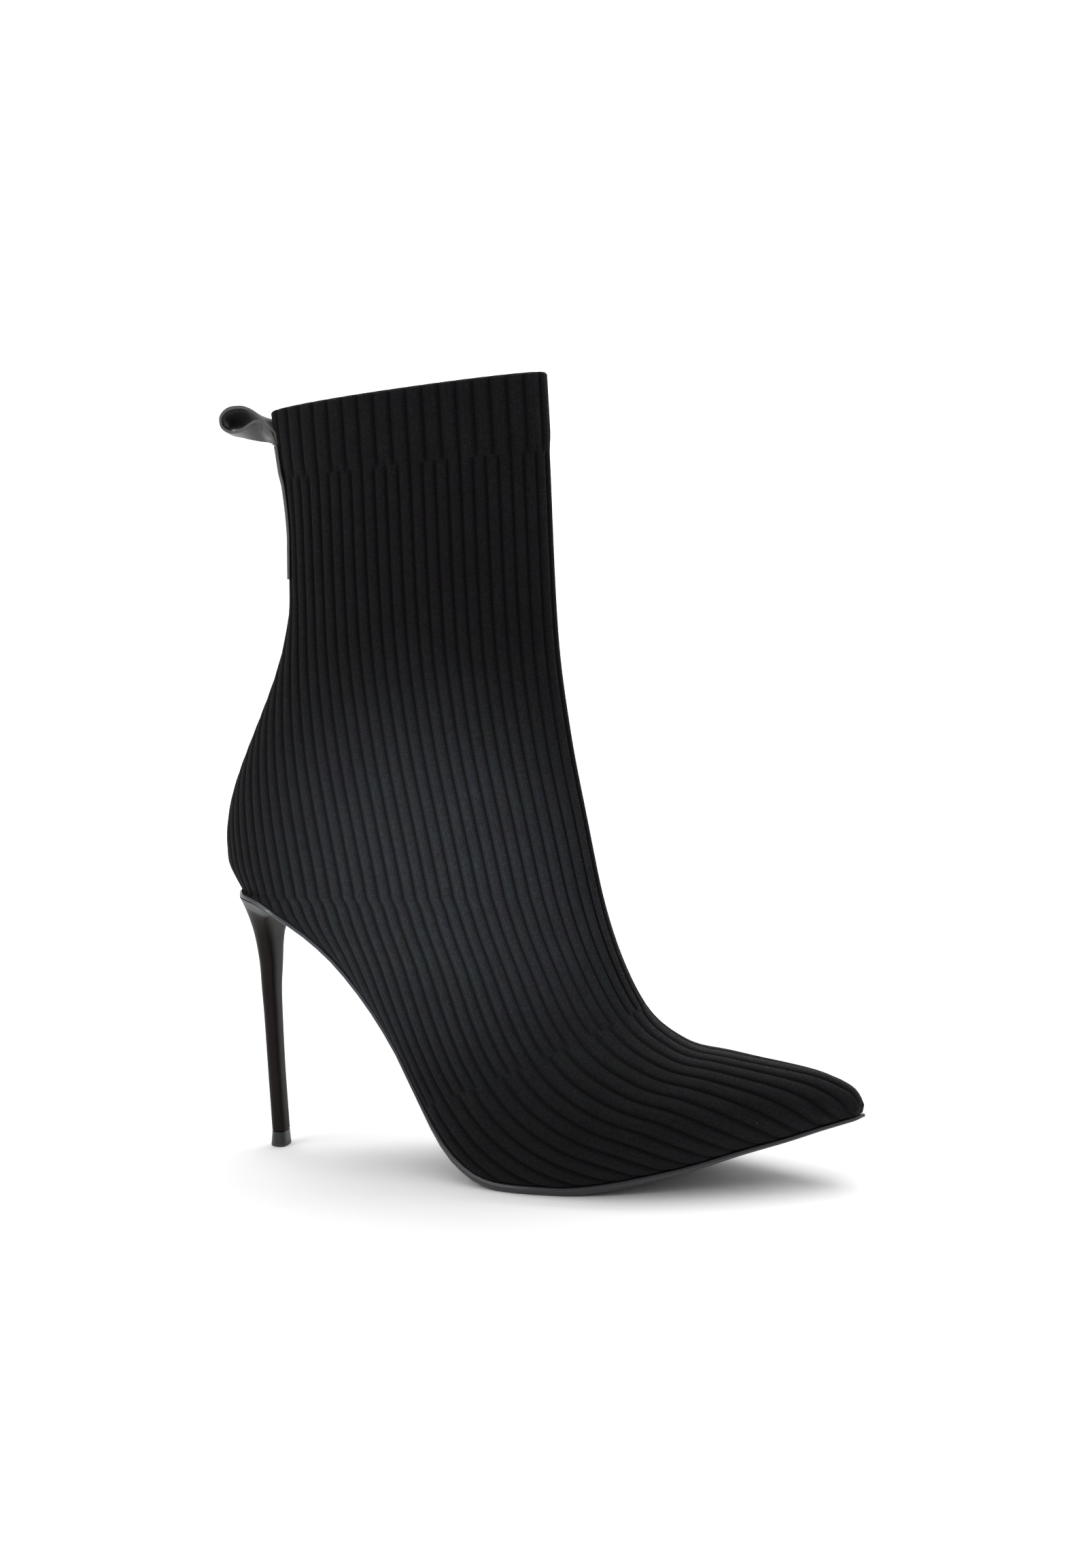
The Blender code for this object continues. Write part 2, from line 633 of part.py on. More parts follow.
def strip_at(grid, rows):
    """Rows of a grid of points read at places between its own rows."""
    low = np.clip(np.floor(rows).astype(int), 0, len(grid) - 2)
    share = (rows - low)[:, None, None]
    return grid[low] * (1 - share) + grid[low + 1] * share


def finish(name, colour, roughness, metallic=0.0):
    material = bpy.data.materials.new(name)
    material.use_nodes = True
    shader = material.node_tree.nodes["Principled BSDF"]
    shader.inputs["Base Color"].default_value = (*colour, 1)
    shader.inputs["Roughness"].default_value = roughness
    shader.inputs["Metallic"].default_value = metallic
    material.diffuse_color = (*colour, 1)
    return material


def clear_scene():
    for thing in list(bpy.data.objects):
        bpy.data.objects.remove(thing, do_unlink=True)


def stand_on_origin(pieces):
    """Hangs the pieces on an empty that puts the middle of the boot's footprint at the origin."""
    corners = []
    for piece in pieces:
        points = np.empty(len(piece.data.vertices) * 3)
        piece.data.vertices.foreach_get("co", points)
        points = points.reshape(-1, 3)
        corners += [points.min(axis=0), points.max(axis=0)]
    low = np.min(corners, axis=0)
    high = np.max(corners, axis=0)
    boot = bpy.data.objects.new("boot", None)
    bpy.context.scene.collection.objects.link(boot)
    boot.location = (-(low[0] + high[0]) / 2, -(low[1] + high[1]) / 2, 0)
    for piece in pieces:
        piece.parent = boot


def main():
    clear_scene()
    knit = finish("black_knit", (0.012, 0.011, 0.012), 0.85)
    board = finish("insole_board", (0.035, 0.030, 0.028), 0.80)
    rubber = finish("sole_rubber", (0.010, 0.010, 0.011), 0.45)
    lacquer = finish("heel_lacquer", (0.006, 0.006, 0.007), 0.15)
    tip_rubber = finish("tip_rubber", (0.012, 0.012, 0.012), 0.40)
    leather = finish("strap_leather", (0.015, 0.014, 0.014), 0.35)
    sections = all_sections(edge_places())
    pieces = [
        upper_piece(sections, knit),
        insole_piece(board),
        sole_piece(rubber),
        heel_piece(lacquer),
        tip_piece(tip_rubber),
        loop_piece(sections, leather),
        tape_piece(sections, leather),
    ]
    stand_on_origin(pieces)


main()
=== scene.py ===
"""Looks of the right sock boot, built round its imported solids.

Metres, +Z up. Shapes are worked out in the maker's frame, where X runs from 0 behind the heel to LENGTH
at the toe and the outer side of the foot is at -Y, and are then moved to where the solids stand.
"""

import math

import bmesh
import bpy
import numpy as np
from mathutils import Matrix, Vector


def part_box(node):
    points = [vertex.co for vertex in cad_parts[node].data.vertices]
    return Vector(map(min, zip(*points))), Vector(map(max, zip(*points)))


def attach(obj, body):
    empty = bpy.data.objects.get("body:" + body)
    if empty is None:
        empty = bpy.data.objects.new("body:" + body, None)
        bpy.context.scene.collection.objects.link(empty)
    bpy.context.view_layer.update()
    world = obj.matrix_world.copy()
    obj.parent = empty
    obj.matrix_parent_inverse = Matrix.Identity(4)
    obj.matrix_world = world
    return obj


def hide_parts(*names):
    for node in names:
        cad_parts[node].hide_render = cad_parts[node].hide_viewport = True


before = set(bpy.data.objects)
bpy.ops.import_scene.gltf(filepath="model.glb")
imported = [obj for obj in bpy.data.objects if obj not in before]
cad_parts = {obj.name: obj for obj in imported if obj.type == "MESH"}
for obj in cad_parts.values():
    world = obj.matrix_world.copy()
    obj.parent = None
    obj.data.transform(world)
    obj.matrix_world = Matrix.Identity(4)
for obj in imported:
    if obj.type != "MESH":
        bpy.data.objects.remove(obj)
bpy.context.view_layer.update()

# Sizes of the whole boot, as in its solids
LENGTH = 0.2270
BALL_WIDTH = 0.0760
HEEL_HEIGHT = 0.0920
TOE_SPRING = 0.0230
INSTEP_HEIGHT = 0.0600
SHAFT_HEIGHT = 0.1773
SHAFT_WIDTH = 0.0310
WALL = 0.0018
CUFF_HEIGHT = 0.0255
CUFF_STEP = 0.0005
TOE_PUFF = 0.0075
LIP = 0.0012
LIP_OVERHANG = 0.0006
TREAD_INSET = 0.0010
BALL_TREAD = 0.0018
INSOLE_THICKNESS = 0.0016
TIP_TAPER = 0.25
SEAT_X = 0.0074
SEAT_LEVEL = 0.0937
HEEL_BACK = 0.0067
SEAT_WIDTH = 0.0500
SEAT_LENGTH = 0.0235
TIP_X = 0.0159
TIP_DEPTH = 0.0056
TIP_WIDTH = 0.0076
TIP_HEIGHT = 0.0055
TIP_FLARE = 0.0004
HEEL_INSET = 0.0009
STEM_WIDEST = 0.55
STEM_SQUARE = 0.60
SEAT_WIDEST = 0.90
SEAT_SQUARE = 0.35
STRAP_WIDTH = 0.0100
STRAP_THICKNESS = 0.0011
LOOP_REACH = 0.0178
LOOP_HEIGHT = 0.0100
LOOP_TAIL = 0.0105
TAPE_LENGTH = 0.0460
TAPE_GAP = 0.0005
GAP = 0.0003
SLOPE_STEP = 0.0005

# Ribs of the knit: distance, depth and fullness, the columns of points on a shaft rib and on a wider one,
# the first wide groove, where the vamp line meets the sole as a share of LENGTH, and the stitches
RIB_PITCH = 0.00430
RIB_DEPTH = 0.00090
RIB_FULLNESS = 3.0
RIB_COLUMNS = 6
WIDE_COLUMNS = 8
WIDE_START = 5
VAMP_LINE = 0.352
WALES_PER_RIB = 4
STITCH_LENGTH_MM = 0.75

# Grooves grow shallow by a share over a distance from the upper's edge, and to nothing at the toe
EDGE_FADE = 0.6
EDGE_FADE_LENGTH = 0.0025
TOE_FADE_ROWS = 8

# How finely the surfaces are divided. READ is the number of places read from one section to the next.
READ = 8
ROW_SPACING = 0.0020
SIDE_STEPS = 64
LINING_STEP = 3
SEAT_ROWS = 12
FOOT_ROWS = 56
CLOSER_TOE = 0.10
HEEL_ROWS = 72
HEEL_STEPS = 14
LOOP_STEPS = 150
TAPE_ROWS = 48
MERGE = 4e-6

# Distances over which the upper's lines are eased, its ribs change and the cuff's step fades, and limits
# of where a row is widest
LINE_EASE = 0.007
WIDEST_EASE = 0.024
PAIR_EASE = 0.008
RIB_CHANGE = 0.0020
CUFF_EASE = 0.0060
MIDDLE_LEAST = 0.30
MIDDLE_MOST = 0.92

# Heights between which the upper's rows lie level, each with the height over which that comes and goes
LEVEL_LOW = (0.058, 0.025)
LEVEL_HIGH = (0.150, 0.040)

# Where the heel's own section has given way to the foot's, and over what length
HEEL_END = 0.062
HEEL_EASE = 0.034

# Small forms: the collar's rim, the board's edge and its inset round the heel, the tape, the groove between
# the strap's layers, and how its ends are bent round the collar and thinned
RIM_HEIGHT = 0.0009
BOARD_EDGE = 0.0009
BOARD_INSET = 0.0025
BOARD_LIFT = 0.0005
TAPE_WIDTH = 0.0110
TAPE_THICKNESS = 0.0007
EDGE_GROOVE = 0.00022
COLLAR_DEPTH = 2.9
BEND_START = 0.06
BEND_LENGTH = 0.16
END_THICKNESS = 0.55

# Camera, from the photograph's perspective: its place, its turn about Z and how far it looks down
PHOTO_HEIGHT = 2306
FOCAL_PIXELS = 3000
CAMERA_PLACE = (0.1839, -0.6690, 0.2040)
CAMERA_TURN = 15.195
CAMERA_DROP = 5.833

# Lights: strength of the air's white, then each softbox's name, place, aim, size and power
WORLD_LIGHT = 0.42
SOFTBOXES = [
    ("key_left", (-1.6, -1.9, 1.9), (0, 0, 0.1), (1.8, 1.8), 30),
    ("top", (0, 0.3, 2.6), (0, 0, 0), (2.6, 2.6), 48),
    ("back_wash", (0, 1.0, 2.6), (0, 3.2, 0.9), (3.6, 1.2), 70),
]
ANKLE_SPOT = {
    "place": (-0.75, -1.55, 0.75), "aim": (-0.029, -0.028, 0.106), "power": 470, "angle": 4.5,
    "radius": 0.025, "colour": (0.80, 0.95, 1.0),
}

# Underside of the sole, from the back of the seat to the tip of the toe. along is a share of LENGTH,
# pitch of HEEL_HEIGHT, spring of TOE_SPRING, and tread of BALL_TREAD.
UNDERSIDE = {
    "along": (0.022, 0.044, 0.084, 0.132, 0.178, 0.211, 0.248, 0.279, 0.308, 0.332, 0.359, 0.392,
              0.430, 0.467, 0.498, 0.577, 0.639, 0.699, 0.753, 0.841, 0.894, 0.947, 1.0),
    "pitch": (1.0, 0.999, 0.990, 0.929, 0.851, 0.772, 0.659, 0.550, 0.439, 0.330, 0.217, 0.111,
              0.039, 0.007) + (0.0,) * 9,
    "spring": (0.0,) * 16 + (0.060, 0.175, 0.300, 0.560, 0.700, 0.860, 1.0),
    "tread": (0.20,) * 9 + (0.25, 0.40, 0.65, 0.88, 0.98, 1.0, 1.0, 0.95, 0.80, 0.62, 0.38, 0.30,
                            0.25, 0.20),
}

# Edge where the upper meets the sole, seen from above. along is a share of LENGTH, outer and inner
# are half widths and sway the place of the middle line towards the inner side, as shares of BALL_WIDTH.
# Behind the first row the outline is the round seat, and past the last row the round tip.
OUTLINE = {
    "along": (0.125, 0.165, 0.220, 0.275, 0.335, 0.400, 0.465, 0.530, 0.600, 0.670, 0.740, 0.810,
              0.880, 0.940, 0.975, 1.0),
    "outer": (0.329, 0.322, 0.290, 0.268, 0.292, 0.372, 0.445, 0.474, 0.462, 0.408, 0.334, 0.256,
              0.176, 0.108, 0.062, 0.0),
    "inner": (0.329, 0.320, 0.280, 0.250, 0.262, 0.320, 0.395, 0.446, 0.452, 0.416, 0.348, 0.268,
              0.184, 0.110, 0.062, 0.0),
    "sway": (0.0, 0.0, 0.0, 0.0, 0.0, -0.005, 0.0, 0.005, 0.012, 0.020, 0.030, 0.042,
             0.054, 0.064, 0.068, 0.070),
}

# Rings of the shaft from the collar down to the heel. back and front give X as shares of LENGTH,
# back_up and front_up the height above the seat as shares of SHAFT_HEIGHT, half the half width as a
# share of SHAFT_WIDTH, and middle where between front and back the ring is widest.
SHAFT = {
    "back": (0.086, 0.1015, 0.111, 0.1110, 0.097, 0.0705, 0.041, 0.0155, 0.0055, 0.009),
    "back_up": (0.936, 0.809, 0.690, 0.578, 0.469, 0.373, 0.283, 0.193, 0.109, 0.055),
    "front": (0.518, 0.5245, 0.5290, 0.5340, 0.5410, 0.5525, 0.5645, 0.579, 0.5920, 0.5995),
    "front_up": (1.0, 0.858, 0.723, 0.587, 0.464, 0.363, 0.271, 0.184, 0.102, 0.055),
    "half": (0.48, 0.50, 0.51, 0.52, 0.545, 0.590, 0.665, 0.765, 0.845, 0.881),
    "middle": (0.56, 0.56, 0.57, 0.58, 0.60, 0.63, 0.67, 0.72, 0.78, 0.81),
}

# Sections of the foot from the back of the seat to the toe. along is where a section stands on the
# sole, and top where its top is, as shares of LENGTH. pitch is a share of HEEL_HEIGHT and rise of
# INSTEP_HEIGHT, which together are the height of the top over the sole's underside below it. outer and
# inner are its half widths as shares of BALL_WIDTH, and middle as in the shaft.
FOOT = {
    "along": (0.022, 0.053, 0.132, 0.211, 0.278, 0.339, 0.405, 0.485, 0.577, 0.670, 0.767, 0.863,
              0.934, 0.978, 1.0),
    "top": (0.6045, 0.610, 0.6215, 0.6360, 0.651, 0.668, 0.692, 0.728, 0.771, 0.824, 0.880, 0.934,
            0.970, 0.9915, 1.0),
    "pitch": (1.0, 0.96, 0.82, 0.63, 0.46, 0.30, 0.16, 0.06) + (0.0,) * 7,
    "rise": (0.090, 0.068, 0.128, 0.257, 0.378, 0.492, 0.570, 0.602, 0.600, 0.506, 0.417, 0.320,
             0.236, 0.148, 0.075),
    "outer": (0.3685, 0.372, 0.380, 0.388, 0.400, 0.424, 0.465, 0.510, 0.510, 0.448, 0.345, 0.224,
              0.138, 0.077, 0.0),
    "inner": (0.3685, 0.371, 0.376, 0.376, 0.378, 0.392, 0.425, 0.475, 0.492, 0.456, 0.360, 0.234,
              0.142, 0.077, 0.0),
    "middle": (0.825, 0.825, 0.80, 0.75, 0.69, 0.65, 0.68, 0.72, 0.74, 0.74, 0.72, 0.68,
               0.64, 0.60, 0.55),
}

# Rings of the heel from its tip to the seat. up is the share of the way to the seat, lean how far the
# back has moved from the tip's to the seat's, deep and wide how far the ring has grown to the seat's.
HEEL = {
    "up": (0.0, 0.11, 0.23, 0.36, 0.49, 0.60, 0.70, 0.78, 0.84, 0.895, 0.935, 0.970, 1.0),
    "lean": (0.0, 0.065, 0.135, 0.205, 0.275, 0.350, 0.400, 0.490, 0.580, 0.690, 0.785, 0.885, 1.0),
    "deep": (0.0, 0.0, 0.0, 0.006, 0.018, 0.040, 0.080, 0.125, 0.180, 0.290, 0.430, 0.660, 1.0),
    "wide": (0.0, 0.0, 0.0, 0.006, 0.016, 0.040, 0.085, 0.150, 0.235, 0.380, 0.540, 0.755, 1.0),
}

# Profile of the sole's edge, from its top down to the tread. Each point has the level from which its height
# is counted, that height, and how far in it lies from the edge of the lip.
EDGE_PROFILE = [
    ("top", 0.0, 0.0005), ("top", -0.0001, 0.0002), ("top", -0.0003, 0.0), ("top", -0.00045, 0.0),
    ("top", -0.0006, 0.00015), ("top", -0.00075, 0.0), ("top", -0.0010, 0.0), ("top", -LIP, 0.0002),
    ("top", -LIP, TREAD_INSET), ("floor", 0.0004, TREAD_INSET), ("floor", 0.0001, TREAD_INSET + 0.0002),
    ("floor", 0.0, TREAD_INSET + 0.0005),
]

# Rings of the heel's tip from its top down: height, and how far each has grown
TIP_PROFILE = [
    (TIP_HEIGHT, -0.0003), (TIP_HEIGHT - 0.0002, 0.0), (0.0040, 0.00008), (0.0020, 0.00025),
    (0.0004, TIP_FLARE), (0.0001, TIP_FLARE - 0.0001), (0.0, TIP_FLARE - 0.0004),
]

# Edges of the pull loop, away from the collar and back to it. out is a share of LOOP_REACH behind the rim,
# and up of LOOP_HEIGHT above it. The outer edge stands open, and the inner one is pressed flat.
LOOP = {
    "out": (0.110, 0.150, 0.260, 0.392, 0.562, 0.753, 0.908, 0.978, 0.951, 0.857, 0.724, 0.570, 0.436,
            0.335, 0.225, 0.150, 0.118),
    "up": (-0.380, -0.200, 0.050, 0.190, 0.271, 0.248, 0.098, -0.133, -0.382, -0.541, -0.602, -0.551,
           -0.435, -0.315, -0.225, -0.255, -0.390),
    "inner_out": (0.073, 0.180, 0.330, 0.480, 0.640, 0.790, 0.920, 0.990, 0.990, 0.930, 0.821, 0.691,
                  0.576, 0.460, 0.360, 0.259, 0.174),
    "inner_up": (-0.180, -0.220, -0.300, -0.360, -0.410, -0.435, -0.430, -0.460, -0.560, -0.620, -0.667,
                 -0.718, -0.776, -0.820, -0.860, -0.890, -0.940),
}


# Where the round seat ends and the table of the outline begins
SEAT_END = LENGTH * OUTLINE["along"][0]


def flow(keys, values, at):
    """Smooth curve through a table's rows: cubic pieces whose slopes are limited, so none overshoots."""
    keys = np.asarray(keys, float)
    values = np.asarray(values, float)
    span = np.diff(keys)
    rate = np.diff(values) / span
    slope = np.empty_like(values)
    slope[0] = rate[0]
    slope[-1] = rate[-1]
    before = rate[:-1]
    after = rate[1:]
    mean = (before * span[1:] + after * span[:-1]) / (span[1:] + span[:-1])
    limit = 3 * np.minimum(abs(before), abs(after))
    slope[1:-1] = np.where(before * after > 0, np.clip(mean, -limit, limit), 0)
    row = np.clip(np.searchsorted(keys, at, side="right") - 1, 0, len(span) - 1)
    share = (at - keys[row]) / span[row]
    rest = 1 - share
    start = values[row] * (1 + 2 * share) + slope[row] * span[row] * share
    end = values[row + 1] * (1 + 2 * rest) - slope[row + 1] * span[row] * rest
    return rest**2 * start + share**2 * end


def column(table, name, at):
    """A column of a table, read at places between its rows."""
    return flow(np.arange(len(table[name])), table[name], at)


def soft_step(share):
    """0 up to 0, 1 from 1 on, and an even S between them."""
    share = np.clip(share, 0, 1)
    return share**2 * (3 - 2 * share)


def row_lengths(points):
    """Length of each row of a grid of points."""
    return np.linalg.norm(np.diff(points, axis=1), axis=2).sum(axis=1)


def side_normals(x, z):
    """Unit normals of a line in the XZ plane, turned left from its direction of travel."""
    dx = np.gradient(x, axis=0)
    dz = np.gradient(z, axis=0)
    size = np.hypot(dx, dz)
    return -dz / size, dx / size


def underside(x):
    """Height of the sole's underside over the floor."""
    along = x / LENGTH
    keys = UNDERSIDE["along"]
    pitch = flow(keys, UNDERSIDE["pitch"], along)
    spring = flow(keys, UNDERSIDE["spring"], along)
    return HEEL_HEIGHT * pitch + TOE_SPRING * spring


def sole_thickness(x):
    return LIP + BALL_TREAD * flow(UNDERSIDE["along"], UNDERSIDE["tread"], x / LENGTH)


def sole_normals(x):
    """Unit normals of the sole's underside, which point up into the boot."""
    slope = (underside(x + SLOPE_STEP) - underside(x - SLOPE_STEP)) / (2 * SLOPE_STEP)
    size = np.hypot(1, slope)
    return -slope / size, 1 / size


def lifted(x, height):
    """Points at a height over the sole's underside, measured square to it."""
    nx, nz = sole_normals(x)
    return x + nx * height, underside(x) + nz * height


def seat_share(x):
    """0 in front of the round seat, and up to 1 at its back."""
    return np.clip((SEAT_END - x) / (SEAT_END - SEAT_X), 0, 1)


def toe_share(x, row):
    """0 behind a row of the outline, and up to 1 at the tip."""
    start = LENGTH * OUTLINE["along"][row]
    return np.clip((x - start) / (LENGTH - start), 0, 1)


def edge_widths(x):
    """Half widths of the edge where the upper meets the sole: round seat, table, round tip."""
    along = np.clip(x / LENGTH, OUTLINE["along"][0], 1)
    outer = BALL_WIDTH * flow(OUTLINE["along"], OUTLINE["outer"], along)
    inner = BALL_WIDTH * flow(OUTLINE["along"], OUTLINE["inner"], along)
    tip = toe_share(x, -2)
    wide = BALL_WIDTH * OUTLINE["outer"][-2]
    round_tip = wide * np.sqrt(1 - tip**2) * (1 - TIP_TAPER * tip)
    closing = np.sqrt(1 - seat_share(x) ** 2)
    outer = np.where(tip > 0, round_tip, outer * closing)
    inner = np.where(tip > 0, round_tip, inner * closing)
    return outer, inner


def sway(x):
    """How far the foot's middle line lies towards the inner side."""
    along = np.clip(x / LENGTH, OUTLINE["along"][0], 1)
    return BALL_WIDTH * flow(OUTLINE["along"], OUTLINE["sway"], along)


def seat_ceiling(x):
    """Height just under the sole's underside at x."""
    return underside(x) - GAP / sole_normals(x)[1]


def foot_sections(x):
    """Sections of the foot, each of which stands on the edge of the sole at x."""
    along = x / LENGTH
    keys = FOOT["along"]
    low_x, low_z = lifted(x, sole_thickness(x) + GAP)
    base_outer, base_inner = edge_widths(x)
    top_x = LENGTH * flow(keys, FOOT["top"], along)
    pitch = flow(keys, FOOT["pitch"], along)
    rise = flow(keys, FOOT["rise"], along)
    share = np.clip((along - keys[-2]) / (1 - keys[-2]), 0, 1)
    sections = {
        "low_x": low_x,
        "low_z": low_z,
        "top_x": top_x,
        "top_z": underside(top_x) + HEEL_HEIGHT * pitch + INSTEP_HEIGHT * rise,
        "base_outer": base_outer,
        "base_inner": base_inner,
        "middle": flow(keys, FOOT["middle"], along),
        "sway": sway(x),
    }
    for side, base in (("outer", base_outer), ("inner", base_inner)):
        wide = np.where(share > 0, FOOT[side][-2] * np.sqrt(1 - share**2), flow(keys, FOOT[side], along))
        sections[side] = np.maximum(BALL_WIDTH * wide, base)
    return sections


def edge_places():
    """X of stations under the sole: even turns round the seat, then closer at the toe."""
    turn = np.linspace(0, math.pi / 2, SEAT_ROWS + 1)[:-1]
    seat = SEAT_X + (SEAT_END - SEAT_X) * (1 - np.cos(turn))
    share = np.linspace(0, 1, FOOT_ROWS + 1)
    share = share + CLOSER_TOE * np.sin(math.pi * share)
    return np.concatenate([seat, SEAT_END + (LENGTH - SEAT_END) * share])


def key_sections(x):
    """Lines of the upper from the collar to the toe: rings of the shaft, then the foot's sections at x."""
    last = len(SHAFT["back"]) - 1
    rows = np.linspace(0, last, 2 * last + 1)
    half = SHAFT_WIDTH * column(SHAFT, "half", rows)
    none = np.zeros(len(rows))
    shaft = {
        "low_x": LENGTH * column(SHAFT, "back", rows),
        "low_z": SEAT_LEVEL + SHAFT_HEIGHT * column(SHAFT, "back_up", rows),
        "top_x": LENGTH * column(SHAFT, "front", rows),
        "top_z": SEAT_LEVEL + SHAFT_HEIGHT * column(SHAFT, "front_up", rows),
        "outer": half,
        "inner": half,
        "base_outer": none,
        "base_inner": none,
        "middle": column(SHAFT, "middle", rows),
        "sway": none,
    }
    foot = foot_sections(x)
    return {name: np.concatenate([shaft[name], foot[name]]) for name in shaft}, len(rows)


def length_along(x, z):
    """Distance run at each point of a line in the XZ plane."""
    return np.concatenate([[0], np.cumsum(np.hypot(np.diff(x), np.diff(z)))])


def eased(run, values, width):
    """Values along a run, each replaced by the mean of those near it, but for the run's two ends."""
    weight = np.exp(-0.5 * ((run[:, None] - run) / width) ** 2) * np.gradient(run)
    soft = weight @ values / weight.sum(axis=1)
    inside = np.clip(np.minimum(run, run[-1] - run) / (3 * width), 0, 1)
    return values + (soft - values) * inside**2 * (3 - 2 * inside)


class UpperLines:
    """Lines of the upper's outer face and of its lining, which draws in at the back and the toe.

    They are read between the sections, with the top line and the widths eased along the boot. A row runs
    from a place on the top line to one on the low line, and the pairing of the two is eased as well, so
    that the ribs, which cross the rows, bend evenly.
    """

    def __init__(self):
        x = edge_places()
        outside, first_open = key_sections(x)
        toe = toe_share(x, -4)
        inside, _ = key_sections(x + WALL * seat_share(x) - TOE_PUFF * toe)
        closing = np.concatenate([np.ones(first_open), np.sqrt(1 - toe**4)])
        for side in ("outer", "inner"):
            inside[side] = inside[side] * closing + WALL * (1 - closing)
            inside["base_" + side] = np.minimum(inside["base_" + side], outside["base_" + side]) * closing
        count = len(closing)
        places = np.linspace(0, count - 1, READ * (count - 1) + 1)
        self.outside, self.inside = (
            {name: flow(np.arange(count), values, places) for name, values in keys.items()}
            for keys in (outside, inside))
        self.index = np.arange(len(places))
        low, top = (
            length_along(self.outside[line + "_x"], self.outside[line + "_z"]) for line in ("low", "top"))
        self.run = (low + top) / 2
        self.first_open = READ * first_open
        pairs = eased(self.run, self.level_pairs(low), PAIR_EASE)
        self.low_index = np.interp(pairs, low, self.index)
        seat_rows = self.first_open + READ * np.arange(SEAT_ROWS + 1)
        self.seat_marks = np.interp(seat_rows, self.low_index, self.index)
        self.opening = self.seat_marks[0]
        self.vamp = READ * np.interp(LENGTH * VAMP_LINE, x, first_open + np.arange(len(x)))
        rings = np.arange(len(SHAFT["front"]))
        cuff_up = 1 - CUFF_HEIGHT / SHAFT_HEIGHT
        self.cuff = 2 * READ * np.interp(cuff_up, SHAFT["front_up"][::-1], rings[::-1])

    def level_pairs(self, low):
        """Where rows meet the low line: level with their tops round the ankle, else as in the tables."""
        top_z = self.outside["top_z"]
        back = slice(0, self.outside["low_z"].argmin() + 1)
        level = np.interp(-top_z, -self.outside["low_z"][back], low[back])
        share = soft_step((top_z - LEVEL_LOW[0]) / LEVEL_LOW[1])
        share = share * soft_step((LEVEL_HIGH[0] - top_z) / LEVEL_HIGH[1])
        return low + (level - low) * share

    def rows(self, keys, places):
        """The lines of the outer face or the lining at places along them."""
        at = np.interp(places, self.index, self.low_index)
        at[abs(places - self.opening) < 1e-9] = self.first_open
        lines = {name: np.interp(places, self.index, eased(self.run, keys[name], LINE_EASE))
                 for name in ("top_x", "top_z", "outer", "inner")}
        for name in ("low_x", "low_z", "base_outer", "base_inner", "sway"):
            lines[name] = np.interp(at, self.index, keys[name])
        depth = keys["middle"] * np.hypot(keys["top_x"] - keys["low_x"], keys["top_z"] - keys["low_z"])
        widest = np.interp(places, self.index, eased(self.run, depth, WIDEST_EASE))
        reach = np.hypot(lines["top_x"] - lines["low_x"], lines["top_z"] - lines["low_z"])
        lines["middle"] = np.clip(widest / reach, MIDDLE_LEAST, MIDDLE_MOST)
        return lines

    def faces(self, places):
        """Rows of the outer face and of the lining, which opens no sooner than the outer face."""
        outside, inside = self.rows(self.outside, places), self.rows(self.inside, places)
        for side in ("outer", "inner"):
            outside[side] = np.maximum(outside[side], outside["base_" + side])
            inside["base_" + side] = np.minimum(inside["base_" + side], outside["base_" + side])
        return outside, inside

    def even_places(self, marks):
        """Places at even distances on the surface, with the marked places among them."""
        even = np.arange(ROW_SPACING, self.run[-1] - ROW_SPACING / 2, ROW_SPACING)
        taken = np.interp(marks, self.index, self.run)
        keep = abs(even[:, None] - taken).min(axis=1) > 0.4 * ROW_SPACING
        ends = [0, self.index[-1]]
        return np.sort(np.concatenate([np.interp(even[keep], self.run, self.index), marks, ends]))


def side_surface(lines, side):
    """Points and outward normals of one side, rows by steps round it.

    Each row runs from the top line to its widest place as a quarter of an ellipse, and from there to
    the sole's edge or the back line as another, which at the heel is cut off where it meets the edge.
    """
    line = {name: values[:, None] for name, values in lines.items()}
    turn = np.linspace(0, math.pi / 2, SIDE_STEPS + 1)
    wide = np.maximum(line[side], 0)
    base = np.minimum(line["base_" + side], wide)
    middle = line["middle"]
    heel = soft_step((HEEL_END - line["low_x"]) / HEEL_EASE)
    end = np.arccos(np.clip(base / np.maximum(wide, 1e-6), 0, 0.97))
    part = turn[1:] / turn[-1] * end
    fall = np.sin(turn[1:]) * (1 - heel) + np.sin(part) / np.sin(end) * heel
    draw_in = np.cos(turn[1:]) * (1 - heel) + (np.cos(part) - np.cos(end)) / (1 - np.cos(end)) * heel
    down = np.concatenate([middle * (1 - np.cos(turn)), middle + (1 - middle) * fall], axis=1)
    out = np.concatenate([wide * np.sin(turn), base + (wide - base) * draw_in], axis=1)
    sign = -1 if side == "outer" else 1
    points = np.empty(down.shape + (3,))
    points[..., 0] = line["top_x"] + (line["low_x"] - line["top_x"]) * down
    points[..., 1] = line["sway"] + sign * out
    points[..., 2] = line["top_z"] + (line["low_z"] - line["top_z"]) * down
    normals = -sign * np.cross(np.gradient(points, axis=1), np.gradient(points, axis=0))
    normals[-1] = normals[-2]
    normals[:, 0, 1] = 0
    closed = base[:, 0] < 1e-9
    normals[closed, -1, 1] = 0
    return points, normals / np.maximum(np.linalg.norm(normals, axis=2, keepdims=True), 1e-12)


